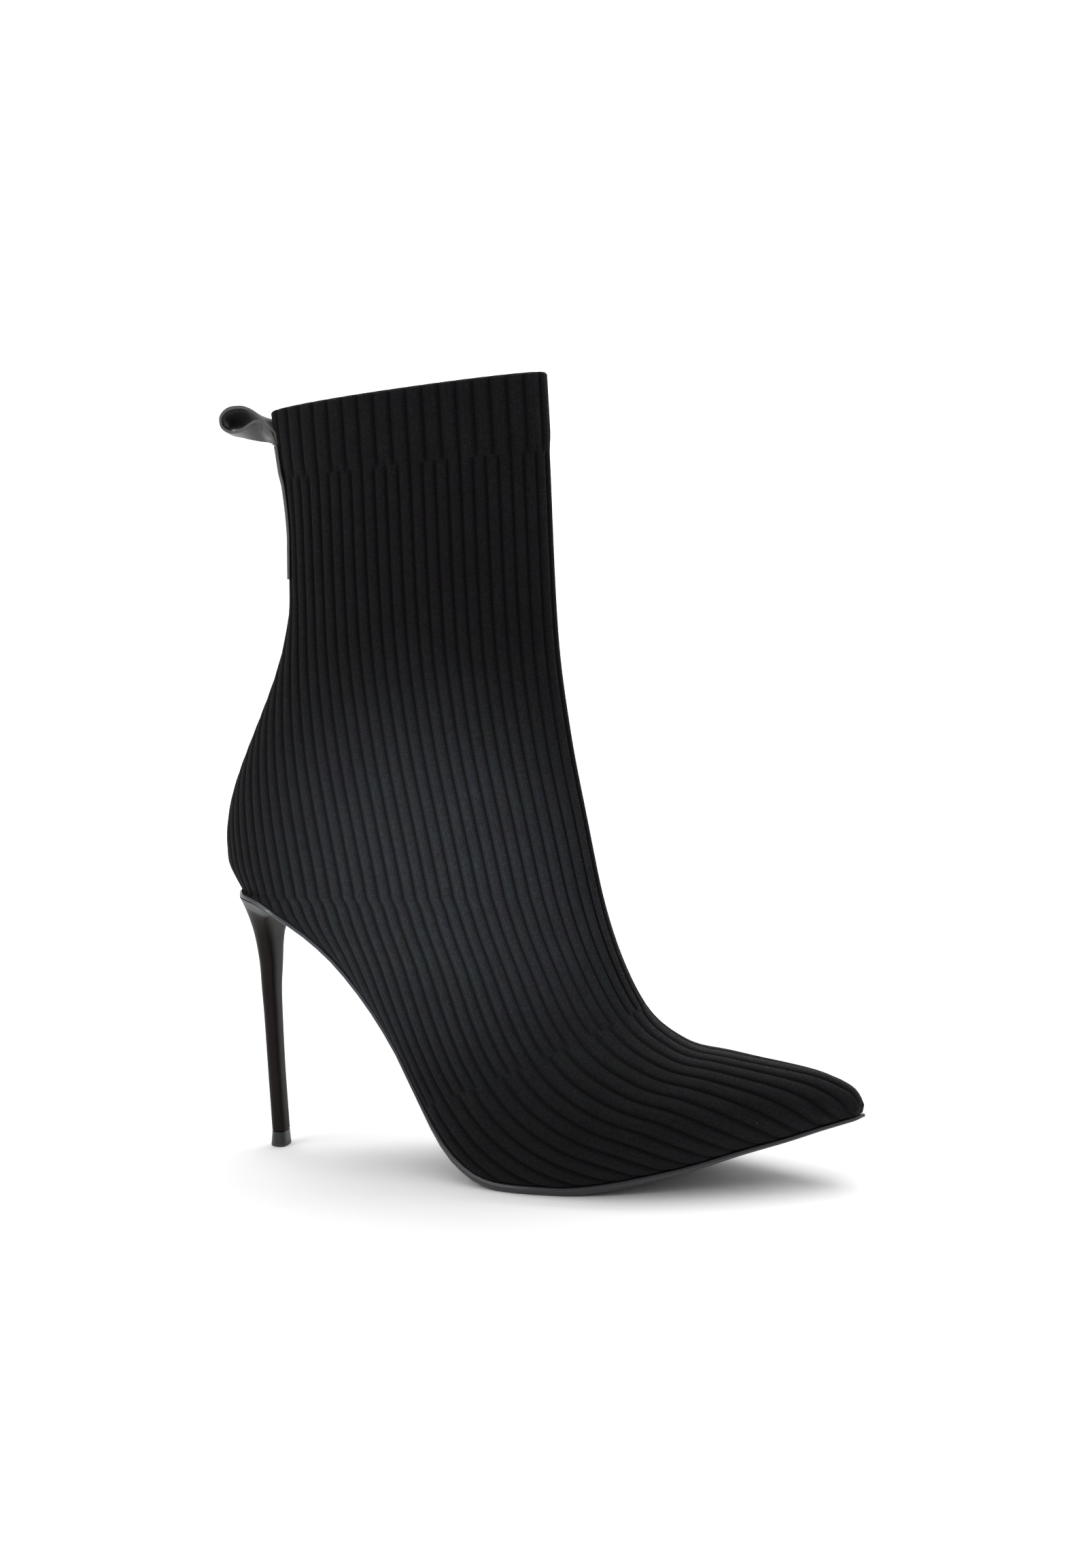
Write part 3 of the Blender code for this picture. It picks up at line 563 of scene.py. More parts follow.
def spread(points, normals, distance):
    """Reads every row at distances from its first point, and at its end where it is shorter."""
    step = np.linalg.norm(np.diff(points, axis=1), axis=2)
    run = np.concatenate([np.zeros((len(step), 1)), np.cumsum(step, axis=1)], axis=1)
    reached = np.minimum(distance, run[:, -1:])
    index = np.arange(run.shape[1])
    at = np.stack([np.interp(*row, index) for row in zip(reached, run)])
    low = np.minimum(at.astype(int), run.shape[1] - 2)
    share = (at - low)[..., None]
    row = np.arange(len(points))[:, None]
    place, normal = (
        field[row, low] * (1 - share) + field[row, low + 1] * share for field in (points, normals))
    return place, normal, reached, run[:, -1:]


class Shell:
    """Grids of points with a pair of pattern coordinates each, and the faces between them."""

    def __init__(self):
        self.points = []
        self.marks = []
        self.faces = []
        self.finishes = []
        self.count = 0

    def place(self, points, marks=None):
        """Adds a grid of points, and gives the numbers of its points."""
        if marks is None:
            marks = np.zeros(points.shape[:2] + (2,))
        numbers = self.count + np.arange(points.shape[0] * points.shape[1]).reshape(points.shape[:2])
        self.points.append(points.reshape(-1, 3))
        self.marks.append(marks.reshape(-1, 2))
        self.count += numbers.size
        return numbers

    def cover(self, numbers, turned=False, finish=0):
        """Quads over a grid of numbered points."""
        corners = [numbers[:-1, :-1], numbers[:-1, 1:], numbers[1:, 1:], numbers[1:, :-1]]
        quads = np.stack([corner.ravel() for corner in corners], axis=1)
        quads = quads[:, ::-1] if turned else quads
        self.faces += quads.tolist()
        self.finishes += [finish] * len(quads)

    def sheet(self, points):
        """Quads over a grid of points that has no pattern."""
        self.cover(self.place(points))

    def close(self, ring):
        """One face over a closed line of numbered points."""
        self.faces.append([int(number) for number in ring])
        self.finishes.append(0)

    def joint(self, many, few, picked, turned=False, finish=0):
        """Faces between a line of points and a line that has only some of their number."""
        for k in range(len(few) - 1):
            face = list(many[picked[k]:picked[k + 1] + 1]) + [few[k + 1], few[k]]
            self.faces.append([int(number) for number in (face[::-1] if turned else face)])
            self.finishes.append(finish)

    def piece(self, name, finishes, sharp=50):
        """The finished object: points that lie together are merged, and normals point outwards."""
        points = np.concatenate(self.points) + OFFSET
        mesh = bpy.data.meshes.new(name)
        mesh.from_pydata(points.tolist(), [], self.faces)
        mesh.polygons.foreach_set("material_index", np.array(self.finishes, np.int32))
        corner = np.empty(len(mesh.loops), np.int32)
        mesh.loops.foreach_get("vertex_index", corner)
        layer = mesh.uv_layers.new(name="pattern")
        layer.uv.foreach_set("vector", np.concatenate(self.marks)[corner].astype(np.float32).ravel())
        work = bmesh.new()
        work.from_mesh(mesh)
        bmesh.ops.remove_doubles(work, verts=work.verts, dist=MERGE)
        bmesh.ops.dissolve_degenerate(work, edges=work.edges, dist=MERGE)
        bmesh.ops.recalc_face_normals(work, faces=work.faces)
        work.to_mesh(mesh)
        work.free()
        mesh.shade_smooth()
        mesh.set_sharp_from_angle(angle=math.radians(sharp))
        for finish in finishes:
            mesh.materials.append(finish)
        made = bpy.data.objects.new(name, mesh)
        bpy.context.scene.collection.objects.link(made)
        return made


def rib_height(ribs):
    """Height of the knit's face at a count of ribs from a groove: 0 in a groove and 1 on a rib."""
    return 1 - abs(2 * (ribs % 1) - 1) ** RIB_FULLNESS


def knit_upper(lines, knit, lining):
    """Hollow knit shell: ribs at equal distances from the front line, hem cuff, rim and lining.

    Grooves run down the shaft half a rib from the front line and a rib apart. On the cuff and beyond the
    vamp line ribs are a third wider, so only every fourth groove runs on.
    """
    places = lines.even_places(np.array([lines.cuff, *lines.seat_marks, lines.vamp]))
    outside, inside = lines.faces(places)
    marks = (lines.cuff, lines.opening, lines.vamp)
    cuff_end, opening, vamp = (int(abs(places - mark).argmin()) for mark in marks)
    rows = np.array([*range(cuff_end + 1), *range(cuff_end, vamp + 1), *range(vamp, len(places))])
    entry = np.arange(len(rows))
    wide = ((entry <= cuff_end) | (entry >= vamp + 2))[:, None]
    run = np.interp(places, lines.index, lines.run)
    from_change = np.minimum(abs(run - run[cuff_end]), abs(run - run[vamp]))[rows, None]
    mixed = 0.5 * (1 - soft_step(from_change / RIB_CHANGE))
    step = CUFF_STEP * soft_step((run[cuff_end] - run[rows, None]) / CUFF_EASE)
    shell = Shell()
    last = len(places) - 1
    lining_rows = np.unique([*range(0, opening, 2), *range(opening, last, 2), last])
    hem_rows = int((lining_rows <= cuff_end).sum())
    for side in ("outer", "inner"):
        turned = side == "inner"
        points, normals = side_surface(outside, side)
        block = WIDE_COLUMNS * LINING_STEP
        columns = block * math.ceil(row_lengths(points).max() / (RIB_PITCH / RIB_COLUMNS) / block)
        distance = np.arange(columns + 1) * RIB_PITCH / RIB_COLUMNS
        place, normal, reached, whole = (field[rows] for field in spread(points, normals, distance))
        narrow_ribs = reached / RIB_PITCH - 0.5
        wide_ribs = (reached * RIB_COLUMNS / RIB_PITCH - WIDE_START) / WIDE_COLUMNS
        ribs = np.where(wide, wide_ribs, narrow_ribs)
        others = np.where(wide, narrow_ribs, wide_ribs)
        height = rib_height(ribs) * (1 - mixed) + rib_height(others) * mixed
        tip = np.clip((rows - last) / TOE_FADE_ROWS + 1, 0, 1)[:, None]
        fade = (1 - EDGE_FADE * np.exp((reached - whole) / EDGE_FADE_LENGTH)) * (1 - tip**2)
        lift = step - RIB_DEPTH * (1 - height) * fade
        face = place + normal * lift[..., None]
        passed = np.linalg.norm(np.diff(face, axis=0), axis=2)
        down = np.concatenate([np.zeros((1, columns + 1)), np.cumsum(passed, axis=0)]) * 1000
        pattern = np.stack([ribs, down], axis=2)
        outer_face = shell.place(face, pattern)
        shell.cover(outer_face, turned)
        points, normals = side_surface(inside, side)
        single = np.unique(rows, return_index=True)[1]
        share = reached[single] / whole[single]
        hem_place, hem_normal, _, _ = spread(points, normals, share * row_lengths(points)[:, None])
        under = hem_place - hem_normal * WALL
        sign = -1 if side == "outer" else 1
        middle = inside["sway"][:, None]
        under[..., 1] = middle + sign * np.maximum(sign * (under[..., 1] - middle), 0)
        up = place[0] - place[2]
        up = up / np.linalg.norm(up, axis=1, keepdims=True)
        bend = np.linspace(0, 1, 5)[:, None, None]
        rim = face[0] * (1 - bend) + under[0] * bend + up * RIM_HEIGHT * np.sin(math.pi * bend) ** 0.7
        rim_pattern = np.stack(np.broadcast_arrays(ribs[0], -bend[..., 0]), axis=2)
        rim_face = shell.place(rim, rim_pattern)
        shell.cover(rim_face, not turned)
        every = np.arange(0, columns + 1, LINING_STEP)
        below = lining_rows[1:]
        inner_face = shell.place(under[below][:, every], pattern[single[below]][:, every])
        shell.joint(rim_face[-1], inner_face[0], every, not turned)
        shell.cover(inner_face[:hem_rows], not turned)
        shell.cover(inner_face[hem_rows - 1:], not turned, finish=1)
        open_rows = lining_rows[lining_rows >= opening]
        edge = outer_face[single[opening:], -1]
        picked = open_rows - opening
        lower = inner_face[len(below) - len(open_rows):, -1]
        shell.joint(edge, lower, picked, turned, finish=1)
    return shell.piece("knit_upper", [knit, lining])


def outline(x, grow):
    """Both sides of the sole's edge seen from above, moved outwards by grow along the edge's normals."""
    outer, inner = edge_widths(x)
    middle = sway(x)
    ring = np.stack([
        np.concatenate([x, x[-2:0:-1]]),
        np.concatenate([middle - outer, (middle + inner)[-2:0:-1]]),
    ])
    along = np.roll(ring, -1, axis=1) - np.roll(ring, 1, axis=1)
    along = along / np.hypot(along[0], along[1])
    moved = ring + grow * np.stack([along[1], -along[0]])
    count = len(x)
    back_again = np.concatenate([[0], np.arange(moved.shape[1] - 1, count - 2, -1)])
    return moved[:, :count].T, moved[:, back_again].T


def raised(line, height):
    """A line seen from above, set at a height over the sole's underside."""
    x, z = lifted(line[:, 0], height)
    return np.stack([x, line[:, 1], z], axis=1)


def across(first, second, steps):
    """A grid of straight lines from one line of points to another."""
    share = np.linspace(0, 1, steps + 1)[None, :, None]
    return first[:, None] * (1 - share) + second[:, None] * share


def outsole(finish):
    """Thin sole: a lip with a fine line pressed into its edge, over an inset tread.

    The edge's profile is carried round the foot as a line of points, from EDGE_PROFILE.
    """
    x = edge_places()
    shell = Shell()
    lines = {"outer": [], "inner": []}
    for level, rise, inset in EDGE_PROFILE:
        for side, line in zip(("outer", "inner"), outline(x, LIP_OVERHANG - inset)):
            start = sole_thickness(line[:, 0]) if level == "top" else 0.0
            lines[side].append(raised(line, np.maximum(start + rise, 0.0)))
    for side in ("outer", "inner"):
        shell.sheet(np.stack(lines[side]))
    shell.sheet(across(lines["outer"][0], lines["inner"][0], 6))
    shell.sheet(across(lines["outer"][-1], lines["inner"][-1], 14))
    return shell.piece("outsole", [finish], sharp=60)


def sock_lining(finish):
    """Board with its cover inside the foot: flat, and turned up a little along its edge."""
    x = edge_places()
    x = x + (WALL + BOARD_INSET) * seat_share(x)
    x = (x - TOE_PUFF * toe_share(x, -4))[1:-1]
    outer, inner = edge_widths(x)
    inset = BOARD_EDGE + BOARD_INSET * soft_step((HEEL_END - x) / HEEL_EASE)
    one, other = (np.stack([x, sway(x) + sign * np.maximum(half - inset, GAP)], axis=1)
                  for sign, half in ((-1, outer), (1, inner)))
    low = sole_thickness(x) + GAP
    high = low + INSOLE_THICKNESS
    shell = Shell()
    steps = 16
    lower, upper = (across(raised(one, height), raised(other, height), steps) for height in (low, high))
    turned_up = BOARD_LIFT * np.linspace(-1, 1, steps + 1) ** 6
    upper[..., 2] += turned_up
    shell.sheet(lower)
    shell.sheet(upper)
    for edge in (0, -1):
        shell.sheet(np.stack([lower[:, edge], upper[:, edge]]))
        shell.sheet(np.stack([lower[edge], upper[edge]]))
    return shell.piece("sock_lining", [finish], sharp=40)


def heel_half(widest, square):
    """Half of a D seen from above, from its round back to its flat front, as shares of depth and width."""
    turn = np.linspace(0, math.pi / 2, HEEL_STEPS + 1)
    back = np.stack([widest * (1 - np.cos(turn)), np.sin(turn)])
    front = np.stack([widest + (1 - widest) * np.sin(turn) ** square, np.cos(turn) ** square])
    return np.concatenate([back, front[:, 1:]], axis=1)


def close_rings(rings):
    """Both sides of a stack of half rings, with a flat cap at either end."""
    shell = Shell()
    sides = [np.stack([np.stack([x, sign * y, z], axis=1) for x, y, z in rings]) for sign in (-1, 1)]
    for side in sides:
        shell.sheet(side)
    for end in (0, -1):
        shell.sheet(across(sides[0][end], sides[1][end], 2))
    return shell


def heel_cover(finish):
    """Stiletto heel: D-shaped rings from the tip to the seat, read smoothly from the heel's table."""
    foot = TIP_HEIGHT + GAP
    stem = heel_half(STEM_WIDEST, STEM_SQUARE)
    seat = heel_half(SEAT_WIDEST, SEAT_SQUARE)
    last = len(HEEL["up"]) - 1
    rings = []
    for at in np.linspace(0, last, HEEL_ROWS + 1):
        up, lean, deep, wide = (column(HEEL, name, at) for name in ("up", "lean", "deep", "wide"))
        back = TIP_X + (HEEL_BACK - TIP_X) * lean
        depth = TIP_DEPTH + (SEAT_LENGTH - HEEL_INSET - TIP_DEPTH) * deep
        half = TIP_WIDTH / 2 + (SEAT_WIDTH / 2 - HEEL_INSET - TIP_WIDTH / 2) * wide
        shape = stem + (seat - stem) * max(wide, 0)
        x = back + depth * shape[0]
        rings.append((x, half * shape[1], foot + (seat_ceiling(x) - foot) * up))
    return close_rings(rings).piece("heel_cover", [finish], sharp=50)


def heel_tip(finish):
    """Top piece: a little wider at the floor, with its two edges eased."""
    shape = heel_half(STEM_WIDEST, STEM_SQUARE)
    rings = []
    for height, grow in TIP_PROFILE:
        x = TIP_X - grow + (TIP_DEPTH + 2 * grow) * shape[0]
        rings.append((x, (TIP_WIDTH / 2 + grow) * shape[1], np.full_like(x, height)))
    return close_rings(rings).piece("heel_tip", [finish], sharp=50)


def strap_profile(half, thick):
    """Cross-section of a strap of two layers: flat, with round edges that a fine groove divides."""
    turn = np.linspace(-math.pi / 2, math.pi / 2, 13)
    edge = half - thick
    round_edge = edge + thick * np.cos(turn) - EDGE_GROOVE * np.exp(-(turn / 0.35) ** 2)
    flat = np.linspace(1, -1, 13)[1:-1] * edge
    y = np.concatenate([round_edge, flat, -round_edge, -flat])
    side = thick * np.sin(turn)
    z = np.concatenate([side, np.full(len(flat), thick), -side, np.full(len(flat), -thick)])
    return y, z


def pull_loop(keys, finish):
    """Leather strap carried along its bend: up the back of the collar, round, and down on itself.

    Each of its two edges has a path of its own, and the strap lies on straight lines between them. Its
    ends are thinner and bent round the back of the collar.
    """
    rim_x = keys["low_x"][0] - CUFF_STEP
    rim_z = keys["low_z"][0]
    tails = rim_z - LOOP_TAIL * np.array([1.0, 0.80, 0.60, 0.85, 1.0])
    back = np.interp(-tails, -keys["low_z"], keys["low_x"]) - CUFF_STEP
    back -= STRAP_THICKNESS * np.array([0.3, 0.35, 0.45, 1.0, 0.8])
    paths = []
    for out, up in (("out", "up"), ("inner_out", "inner_up")):
        x = np.concatenate([back[:3], rim_x - LOOP_REACH * np.array(LOOP[out]), back[3:]])
        z = np.concatenate([tails[:3], rim_z + LOOP_HEIGHT * np.array(LOOP[up]), tails[3:]])
        run = length_along(x, z)
        at = np.linspace(0, run[-1], LOOP_STEPS + 1)
        paths.append(np.stack([flow(run, x, at), flow(run, z, at)]))
    y, out = strap_profile(STRAP_WIDTH / 2, STRAP_THICKNESS / 2)
    y, out = np.append(y, y[0]), np.append(out, out[0])
    share = y / STRAP_WIDTH + 0.5
    x, z = paths[0][..., None] * (1 - share) + paths[1][..., None] * share
    nx, nz = side_normals(x, z)
    from_end = at[:, None] / at[-1]
    from_end = np.minimum(from_end, 1 - from_end)
    full = END_THICKNESS + (1 - END_THICKNESS) * soft_step(from_end / BEND_LENGTH)
    half = keys["outer"][0]
    bent = half * (1 - np.sqrt(1 - (y / half) ** 2)) * COLLAR_DEPTH
    x = x + bent * (1 - soft_step((from_end - BEND_START) / BEND_LENGTH))
    points = np.stack([x + nx * out * full, np.broadcast_to(y, x.shape), z + nz * out * full], axis=2)
    marks = 1000 * np.stack(np.broadcast_arrays(y, at[:, None]), axis=2)
    shell = Shell()
    numbers = shell.place(points, marks)
    shell.cover(numbers)
    shell.close(numbers[0, -2::-1])
    shell.close(numbers[-1, :-1])
    return shell.piece("strap_loop", [finish], sharp=60)


def back_tape(lines, finish):
    """Leather tape over the back seam: a strip of the upper's own surface, raised, with round edges."""
    keys = lines.outside
    top = keys["low_z"][0] - LOOP_TAIL - TAPE_GAP
    level = np.linspace(top, top - TAPE_LENGTH, TAPE_ROWS)
    places = lines.index[:int(lines.opening)]
    back = lines.rows(keys, places)["low_z"]
    outside = lines.faces(np.interp(-level, -back, places))[0]
    half = TAPE_WIDTH / 2
    turn = np.linspace(-math.pi / 2, math.pi / 2, 7)
    thick = TAPE_THICKNESS / 2
    shell = Shell()
    flat = np.linspace(0, half - thick, 8)[:-1]
    offsets = np.concatenate([flat, half - thick + thick * np.cos(turn), flat[::-1]])
    top_face = np.full(len(flat), thick)
    lifts = thick + np.concatenate([top_face, thick * np.sin(turn[::-1]), -top_face])
    carried = CUFF_STEP * soft_step((level - back.max() + CUFF_HEIGHT) / CUFF_EASE)
    grids = []
    for side in ("outer", "inner"):
        points, normals = side_surface(outside, side)
        place, normal, _, _ = spread(points, normals, row_lengths(points)[:, None] - offsets)
        points = place + normal * (lifts + carried[:, None])[..., None]
        sign = -1 if side == "outer" else 1
        down = (level[0] - level)[:, None]
        marks = 1000 * np.stack(np.broadcast_arrays(sign * offsets, down), axis=2)
        numbers = shell.place(points, marks)
        shell.cover(numbers)
        grids.append(numbers)
    for end in (0, -1):
        shell.close([*grids[0][end], *grids[1][end][::-1]])
    return shell.piece("seam_tape", [finish], sharp=60)


def two_terms(operation):
    """A method that joins a signal and another term by one Math operation."""
    return lambda self, other: self.work(operation, self, other)


class Signal:
    """A number that changes over a surface, which Python's operators work with by adding Math nodes."""

    def __init__(self, finish, socket):
        self.finish = finish
        self.socket = socket

    def work(self, operation, *terms):
        return self.finish.node("Math", {"operation": operation}, terms)

    def __rsub__(self, other):
        return self.work("SUBTRACT", other, self)

    def __abs__(self):
        return self.work("ABSOLUTE", self)

    __add__ = __radd__ = two_terms("ADD")
    __mul__ = __rmul__ = two_terms("MULTIPLY")
    __sub__ = two_terms("SUBTRACT")
    __truediv__ = two_terms("DIVIDE")
    __mod__ = two_terms("FLOORED_MODULO")
    most = two_terms("MAXIMUM")

    def wave(self):
        """Sine of this signal, which is counted in whole turns."""
        return self.work("SINE", self * (2 * math.pi))

    def rise(self, low, high):
        """0 below low and 1 above high, with a soft step between them."""
        settings = {"interpolation_type": "SMOOTHSTEP"}
        return self.finish.node("MapRange", settings, {"Value": self, "From Min": low, "From Max": high})


class Finish:
    """A material, built up from signals around one Principled shader."""

    def __init__(self, name, **sockets):
        self.material = bpy.data.materials.new(name)
        self.material.use_nodes = True
        self.tree = self.material.node_tree
        self.shader = self.tree.nodes["Principled BSDF"]
        for socket, value in sockets.items():
            self.shader.inputs[socket.replace("_", " ")].default_value = value

    def node(self, kind, settings=None, sockets=(), output=0):
        """Adds a node of a kind with its settings, values or links, and gives one of its outputs."""
        made = self.tree.nodes.new("ShaderNode" + kind)
        for name, value in (settings or {}).items():
            setattr(made, name, value)
        pairs = sockets.items() if isinstance(sockets, dict) else enumerate(sockets)
        for name, value in pairs:
            self.join(value, made.inputs[name])
        return Signal(self, made.outputs[output])

    def join(self, value, socket):
        if isinstance(value, Signal):
            self.tree.links.new(value.socket, socket)
        else:
            socket.default_value = value

    def done(self, colour, roughness, normal=None):
        """The finished material, with its colour, roughness and bent normals joined to the shader."""
        self.join(colour, self.shader.inputs["Base Color"])
        self.join(roughness, self.shader.inputs["Roughness"])
        if normal is not None:
            self.join(normal, self.shader.inputs["Normal"])
        return self.material

    def spot(self):
        """Places on the object, in metres."""
        return self.node("TexCoord", output="Object")

    def pattern(self):
        """The piece's own two pattern coordinates."""
        place = self.node("UVMap", {"uv_map": "pattern"})
        return [self.part(place, axis) for axis in ("X", "Y")]

    def part(self, vector, axis):
        return self.node("SeparateXYZ", sockets=[vector], output=axis)

    def stretched(self, place, scales):
        """Places scaled apart along each axis, for drawn-out patterns."""
        return self.node("Mapping", {"vector_type": "POINT"}, {"Vector": place, "Scale": scales})

    def noise(self, place, scale, detail=2.0, roughness=0.5, output="Fac"):
        sockets = {"Vector": place, "Scale": scale, "Detail": detail, "Roughness": roughness}
        return self.node("TexNoise", sockets=sockets, output=output)

    def cells(self, place, scale, output="Distance"):
        return self.node("TexVoronoi", sockets={"Vector": place, "Scale": scale}, output=output)

    def tint(self, share, first, second):
        """A colour between two others."""
        colours = [value if isinstance(value, Signal) else (*value, 1) for value in (first, second)]
        return self.node("Mix", {"data_type": "RGBA"}, {0: share, 6: colours[0], 7: colours[1]}, 2)

    def relief(self, height, depth, under=None):
        """Normals bent by a height from 0 to 1 that stands for a depth in metres."""
        sockets = {"Height": height, "Distance": depth, "Strength": 1.0}
        if under is not None:
            sockets["Normal"] = under
        return self.node("Bump", sockets=sockets)


def knit_finish():
    """Black rib knit: columns of small V stitches on each rib, grooves darkened with painted shade, a little
    fluff and lint.
    """
    knit = Finish("black_rib_knit", Sheen_Weight=0.02, Sheen_Roughness=0.5, Specular_IOR_Level=0.08)
    spot = knit.spot()
    ribs, down = knit.pattern()
    middle = abs(ribs % 1 - 0.5) * 2
    groove = middle.rise(0.50, 0.96)
    wale = abs(ribs * WALES_PER_RIB % 1 - 0.5)
    stitch = (down / STITCH_LENGTH_MM + wale * 1.1).wave() * 0.5 + 0.5
    ladder = wale.rise(0.33, 0.50)
    yarn = stitch * (1 - ladder * 0.7) * (1 - groove)
    fluff = knit.noise(spot, 2600, 3.0, 0.6)
    patch = knit.noise(spot, 70, 3.0)
    mottle = knit.noise(spot, 950, 2.0)
    hue = knit.noise(spot, 160, 2.0, output="Color")
    tone = yarn * 0.45 + fluff * 0.6 + mottle * 0.9 + patch * 0.35 - 0.65
    black = knit.tint(tone.rise(0.0, 1.1), (0.0024, 0.0022, 0.0027), (0.0130, 0.0121, 0.0146))
    overlay = {"data_type": "RGBA", "blend_type": "OVERLAY"}
    tinted = knit.node("Mix", overlay, {0: 0.35, 6: black, 7: hue}, 2)
    # Painted shade: the grooves get a darker colour that stands in for the shade falling in them, and the
    # yarn's tone is cut to nothing there as well
    painted_groove_shade = knit.tint(groove, tinted, (0.0034, 0.0032, 0.0038))
    specks = knit.cells(spot, 150, output="Distance")
    rare = knit.cells(spot, 150, output="Color")
    lint = (1 - specks.rise(0.020, 0.045)) * knit.part(rare, "X").rise(0.985, 0.990)
    colour = knit.tint(lint, painted_groove_shade, (0.35, 0.34, 0.32))
    roughness = 0.62 + fluff * 0.2 + groove * 0.15
    return knit.done(colour, roughness, knit.relief(yarn, 0.00030, knit.relief(fluff, 0.00012)))


def lining_finish():
    """Dark lining: a fine close weave."""
    lining = Finish("dark_lining", Specular_IOR_Level=0.2)
    spot = lining.spot()
    weave = lining.noise(spot, 3000, 2.0)
    patch = lining.noise(spot, 90, 3.0)
    tone = weave * 0.6 + patch * 0.4
    colour = lining.tint(tone, (0.006, 0.006, 0.007), (0.022, 0.021, 0.022))
    roughness = 0.8 + patch * 0.15
    return lining.done(colour, roughness, lining.relief(weave, 0.00012))


def board_finish():
    """Sock lining of thin smooth leather, dulled where a heel has rubbed it."""
    board = Finish("sock_lining_leather")
    spot = board.spot()
    grain = board.cells(spot, 1400)
    rub = board.noise(spot, 45, 4.0, 0.6)
    colour = board.tint(rub, (0.010, 0.009, 0.009), (0.030, 0.027, 0.025))
    roughness = 0.45 + rub * 0.3
    return board.done(colour, roughness, board.relief(grain, 0.00010))


def strap_finish(name, half):
    """Smooth black leather: fine grain, worn shiny along its edges with a painted highlight on their
    rounding, and a stitch line near each edge.
    """
    leather = Finish(name, Specular_IOR_Level=0.35, Coat_Weight=0.10, Coat_Roughness=0.2)
    spot = leather.spot()
    across_strap, along = leather.pattern()
    from_edge = half - abs(across_strap)
    grain = leather.cells(spot, 1700)
    creases = leather.noise(spot, 420, 4.0, 0.65)
    worn = 1 - from_edge.rise(0.1, 0.9)
    line = 1 - abs(from_edge - 1.5).rise(0.16, 0.34)
    stitches = line * (1 - abs(along / 2.4 % 1 - 0.5).rise(0.30, 0.40))
    tone = grain * 0.4 + creases * 0.6 + worn * 0.9
    skin = leather.tint(tone.rise(0.1, 1.4), (0.0050, 0.0046, 0.0045), (0.034, 0.031, 0.030))
    # Painted highlight: the rounded edges get a light grey, standing in for the highlight they catch
    skin = leather.tint(1 - from_edge.rise(0.05, 0.45), skin, (0.095, 0.090, 0.088))
    colour = leather.tint(stitches, skin, (0.020, 0.020, 0.021))
    roughness = (0.36 + creases * 0.22 - worn * 0.14).most(0.12)
    pores = leather.relief(1 - grain, 0.00006)
    return leather.done(colour, roughness, leather.relief(stitches - line * 0.6, 0.00025, pores))


def sole_finish():
    """Black sole: a glossy edge in a lighter grey that is a painted reflection, over a duller ribless tread
    with floor scuffs.
    """
    sole = Finish("sole_black", Coat_Weight=0.15, Coat_Roughness=0.15)
    spot = sole.spot()
    face = sole.node("NewGeometry", output="Normal")
    downward = sole.part(face, "Z") * -1
    under = downward.rise(0.55, 0.9)
    grain = sole.cells(spot, 900)
    scuff = sole.noise(spot, 300, 5.0, 0.7)
    drawn = sole.noise(sole.stretched(spot, (40, 420, 40)), 1.0, 4.0, 0.6)
    worn = (scuff * drawn).rise(0.28, 0.45) * under
    base = sole.tint(worn, (0.0065, 0.0065, 0.0070), (0.050, 0.048, 0.046))
    # Painted reflection: every face but the tread gets a lighter grey, standing in for the lip's reflection
    # of the bright surroundings
    colour = sole.tint(1 - under, base, (0.034, 0.033, 0.038))
    roughness = 0.20 + under * 0.30 + worn * 0.2 + scuff * 0.08
    return sole.done(colour, roughness, sole.relief(grain * under, 0.00010))


def lacquer_finish():
    """Glossy black heel cover, very slightly uneven, with hair scratches and a paler band under the seat,
    which is a painted reflection.
    """
    lacquer = Finish("heel_lacquer", Specular_IOR_Level=0.05, Coat_Weight=0.03, Coat_Roughness=0.12)
    spot = lacquer.spot()
    along, height = (lacquer.part(spot, axis) for axis in ("X", "Z"))
    # Painted reflection: a paler grey band under the seat stands in for the bright surroundings reflected in
    # the cover's curved lip
    painted_reflection_band = (height + along * 0.40).rise(0.0468, 0.0490)
    uneven = lacquer.noise(spot, 55, 2.0)
    haze = lacquer.noise(spot, 420, 4.0, 0.6)
    scratches = lacquer.noise(lacquer.stretched(spot, (2600, 2600, 130)), 1.0, 2.0).rise(0.66, 0.76)
    black = lacquer.tint(uneven, (0.0085, 0.0064, 0.0066), (0.0170, 0.0122, 0.0112))
    colour = lacquer.tint(painted_reflection_band, black, (0.080, 0.077, 0.076))
    roughness = 0.38 + haze * 0.12 + scratches * 0.15
    scratched = lacquer.relief(scratches, 0.000015)
    return lacquer.done(colour, roughness, lacquer.relief(uneven, 0.00030, scratched))


def tip_finish():
    """Hard black rubber of the heel tip, greyed and roughened towards the floor."""
    tip = Finish("tip_rubber")
    spot = tip.spot()
    height = tip.part(spot, "Z")
    grain = tip.noise(spot, 2200, 4.0, 0.65)
    worn = (1 - height.rise(0.0002, 0.0016)) * grain.rise(0.35, 0.65)
    colour = tip.tint(worn, (0.008, 0.008, 0.0085), (0.060, 0.058, 0.055))
    roughness = 0.35 + worn * 0.35 + grain * 0.1
    return tip.done(colour, roughness, tip.relief(grain, 0.00008))


def floor_finish():
    """White studio paper, very slightly uneven."""
    floor = Finish("studio_paper", Specular_IOR_Level=0.1)
    cloud = floor.noise(floor.spot(), 3.0, 2.0)
    return floor.done(floor.tint(cloud, (0.93, 0.93, 0.93), (0.95, 0.95, 0.95)), 0.9)


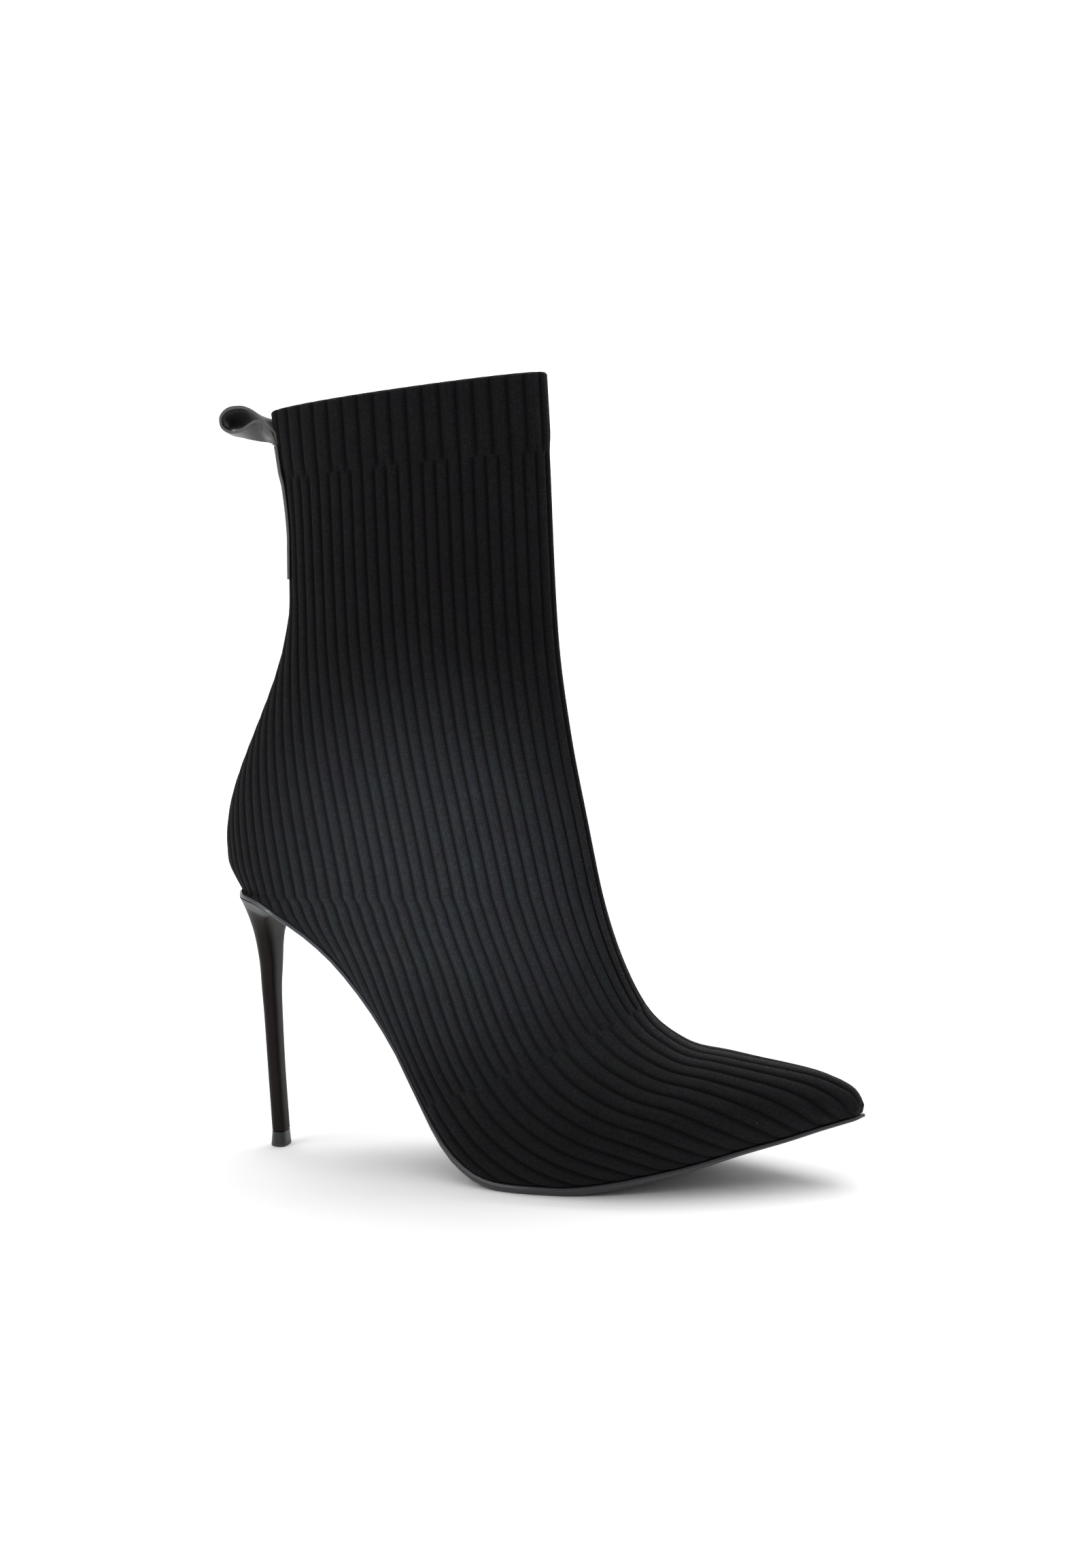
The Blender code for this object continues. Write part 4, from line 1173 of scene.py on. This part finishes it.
def studio_sweep():
    """White paper sweep: flat under the boot, then curved up behind it, a profile drawn along Y and Z."""
    turn = np.linspace(0, math.pi / 2, 17)
    y = np.concatenate([[-4.0], 2.0 + 1.2 * np.sin(turn), [3.2]])
    z = np.concatenate([[0.0], 1.2 - 1.2 * np.cos(turn), [4.5]])
    x = np.linspace(-4.5, 4.5, 2)
    points = np.stack([np.stack([np.full_like(y, across_x), y, z], axis=1) for across_x in x])
    faces = [[k, k + 1, k + 1 + len(y), k + len(y)] for k in range(len(y) - 1)]
    mesh = bpy.data.meshes.new("studio_sweep")
    mesh.from_pydata(points.reshape(-1, 3).tolist(), [], [face[::-1] for face in faces])
    mesh.shade_smooth()
    mesh.materials.append(floor_finish())
    sweep = bpy.data.objects.new("studio_sweep", mesh)
    bpy.context.scene.collection.objects.link(sweep)


def softbox(name, place, aim, size, power):
    """Square area light at a place, turned towards a point."""
    lamp = bpy.data.lights.new(name, "AREA")
    lamp.shape = "RECTANGLE"
    lamp.size, lamp.size_y = size
    lamp.energy = power
    hang(lamp, place, aim)


def hang(lamp, place, aim):
    """Puts a lamp at a place, turned towards a point."""
    light = bpy.data.objects.new(lamp.name, lamp)
    light.location = place
    light.rotation_euler = (Vector(aim) - Vector(place)).to_track_quat("-Z", "Y").to_euler()
    bpy.context.scene.collection.objects.link(light)


def ankle_spot():
    """Soft cool spot on the ankle, from the left of the camera."""
    lamp = bpy.data.lights.new("ankle_spot", "SPOT")
    lamp.energy = ANKLE_SPOT["power"]
    lamp.color = ANKLE_SPOT["colour"]
    lamp.spot_size = math.radians(ANKLE_SPOT["angle"])
    lamp.spot_blend = 1.0
    lamp.shadow_soft_size = ANKLE_SPOT["radius"]
    hang(lamp, ANKLE_SPOT["place"], ANKLE_SPOT["aim"])


def studio():
    """White air, softboxes, the ankle's spot, the paper sweep and the camera in the photograph's view."""
    scene = bpy.context.scene
    scene.view_settings.view_transform = "Standard"
    world = bpy.data.worlds.new("studio_air")
    world.use_nodes = True
    world.node_tree.nodes["Background"].inputs["Color"].default_value = (1, 1, 1, 1)
    world.node_tree.nodes["Background"].inputs["Strength"].default_value = WORLD_LIGHT
    scene.world = world
    studio_sweep()
    for light in SOFTBOXES:
        softbox(*light)
    ankle_spot()
    lens = bpy.data.cameras.new("photo_view")
    lens.lens = FOCAL_PIXELS / PHOTO_HEIGHT * lens.sensor_width
    lens.clip_end = 20
    camera = bpy.data.objects.new("photo_view", lens)
    camera.location = CAMERA_PLACE
    camera.rotation_euler = (math.radians(90 - CAMERA_DROP), 0, math.radians(CAMERA_TURN))
    scene.collection.objects.link(camera)
    scene.camera = camera


def build():
    """Makes every piece in place of its plain solid."""
    lines = UpperLines()
    leather = strap_finish("strap_leather", STRAP_WIDTH * 500)
    tape_leather = strap_finish("tape_leather", TAPE_WIDTH * 500)
    pieces = [
        (knit_upper(lines, knit_finish(), lining_finish()), "upper", "knit"),
        (sock_lining(board_finish()), "insole", "insole_board"),
        (outsole(sole_finish()), "sole", "sole_rubber"),
        (heel_cover(lacquer_finish()), "heel", "heel_cover"),
        (heel_tip(tip_finish()), "top_piece", "tip_rubber"),
        (pull_loop(lines.outside, leather), "pull_loop", "strap_leather"),
        (back_tape(lines, tape_leather), "back_tape", "strap_leather"),
    ]
    for piece, node, slot in pieces:
        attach(piece, "root")
        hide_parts(node)


tip_low, tip_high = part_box("top_piece")
OFFSET = np.array([tip_low.x - (TIP_X - TIP_FLARE), (tip_low.y + tip_high.y) / 2, 0])
studio()
build()
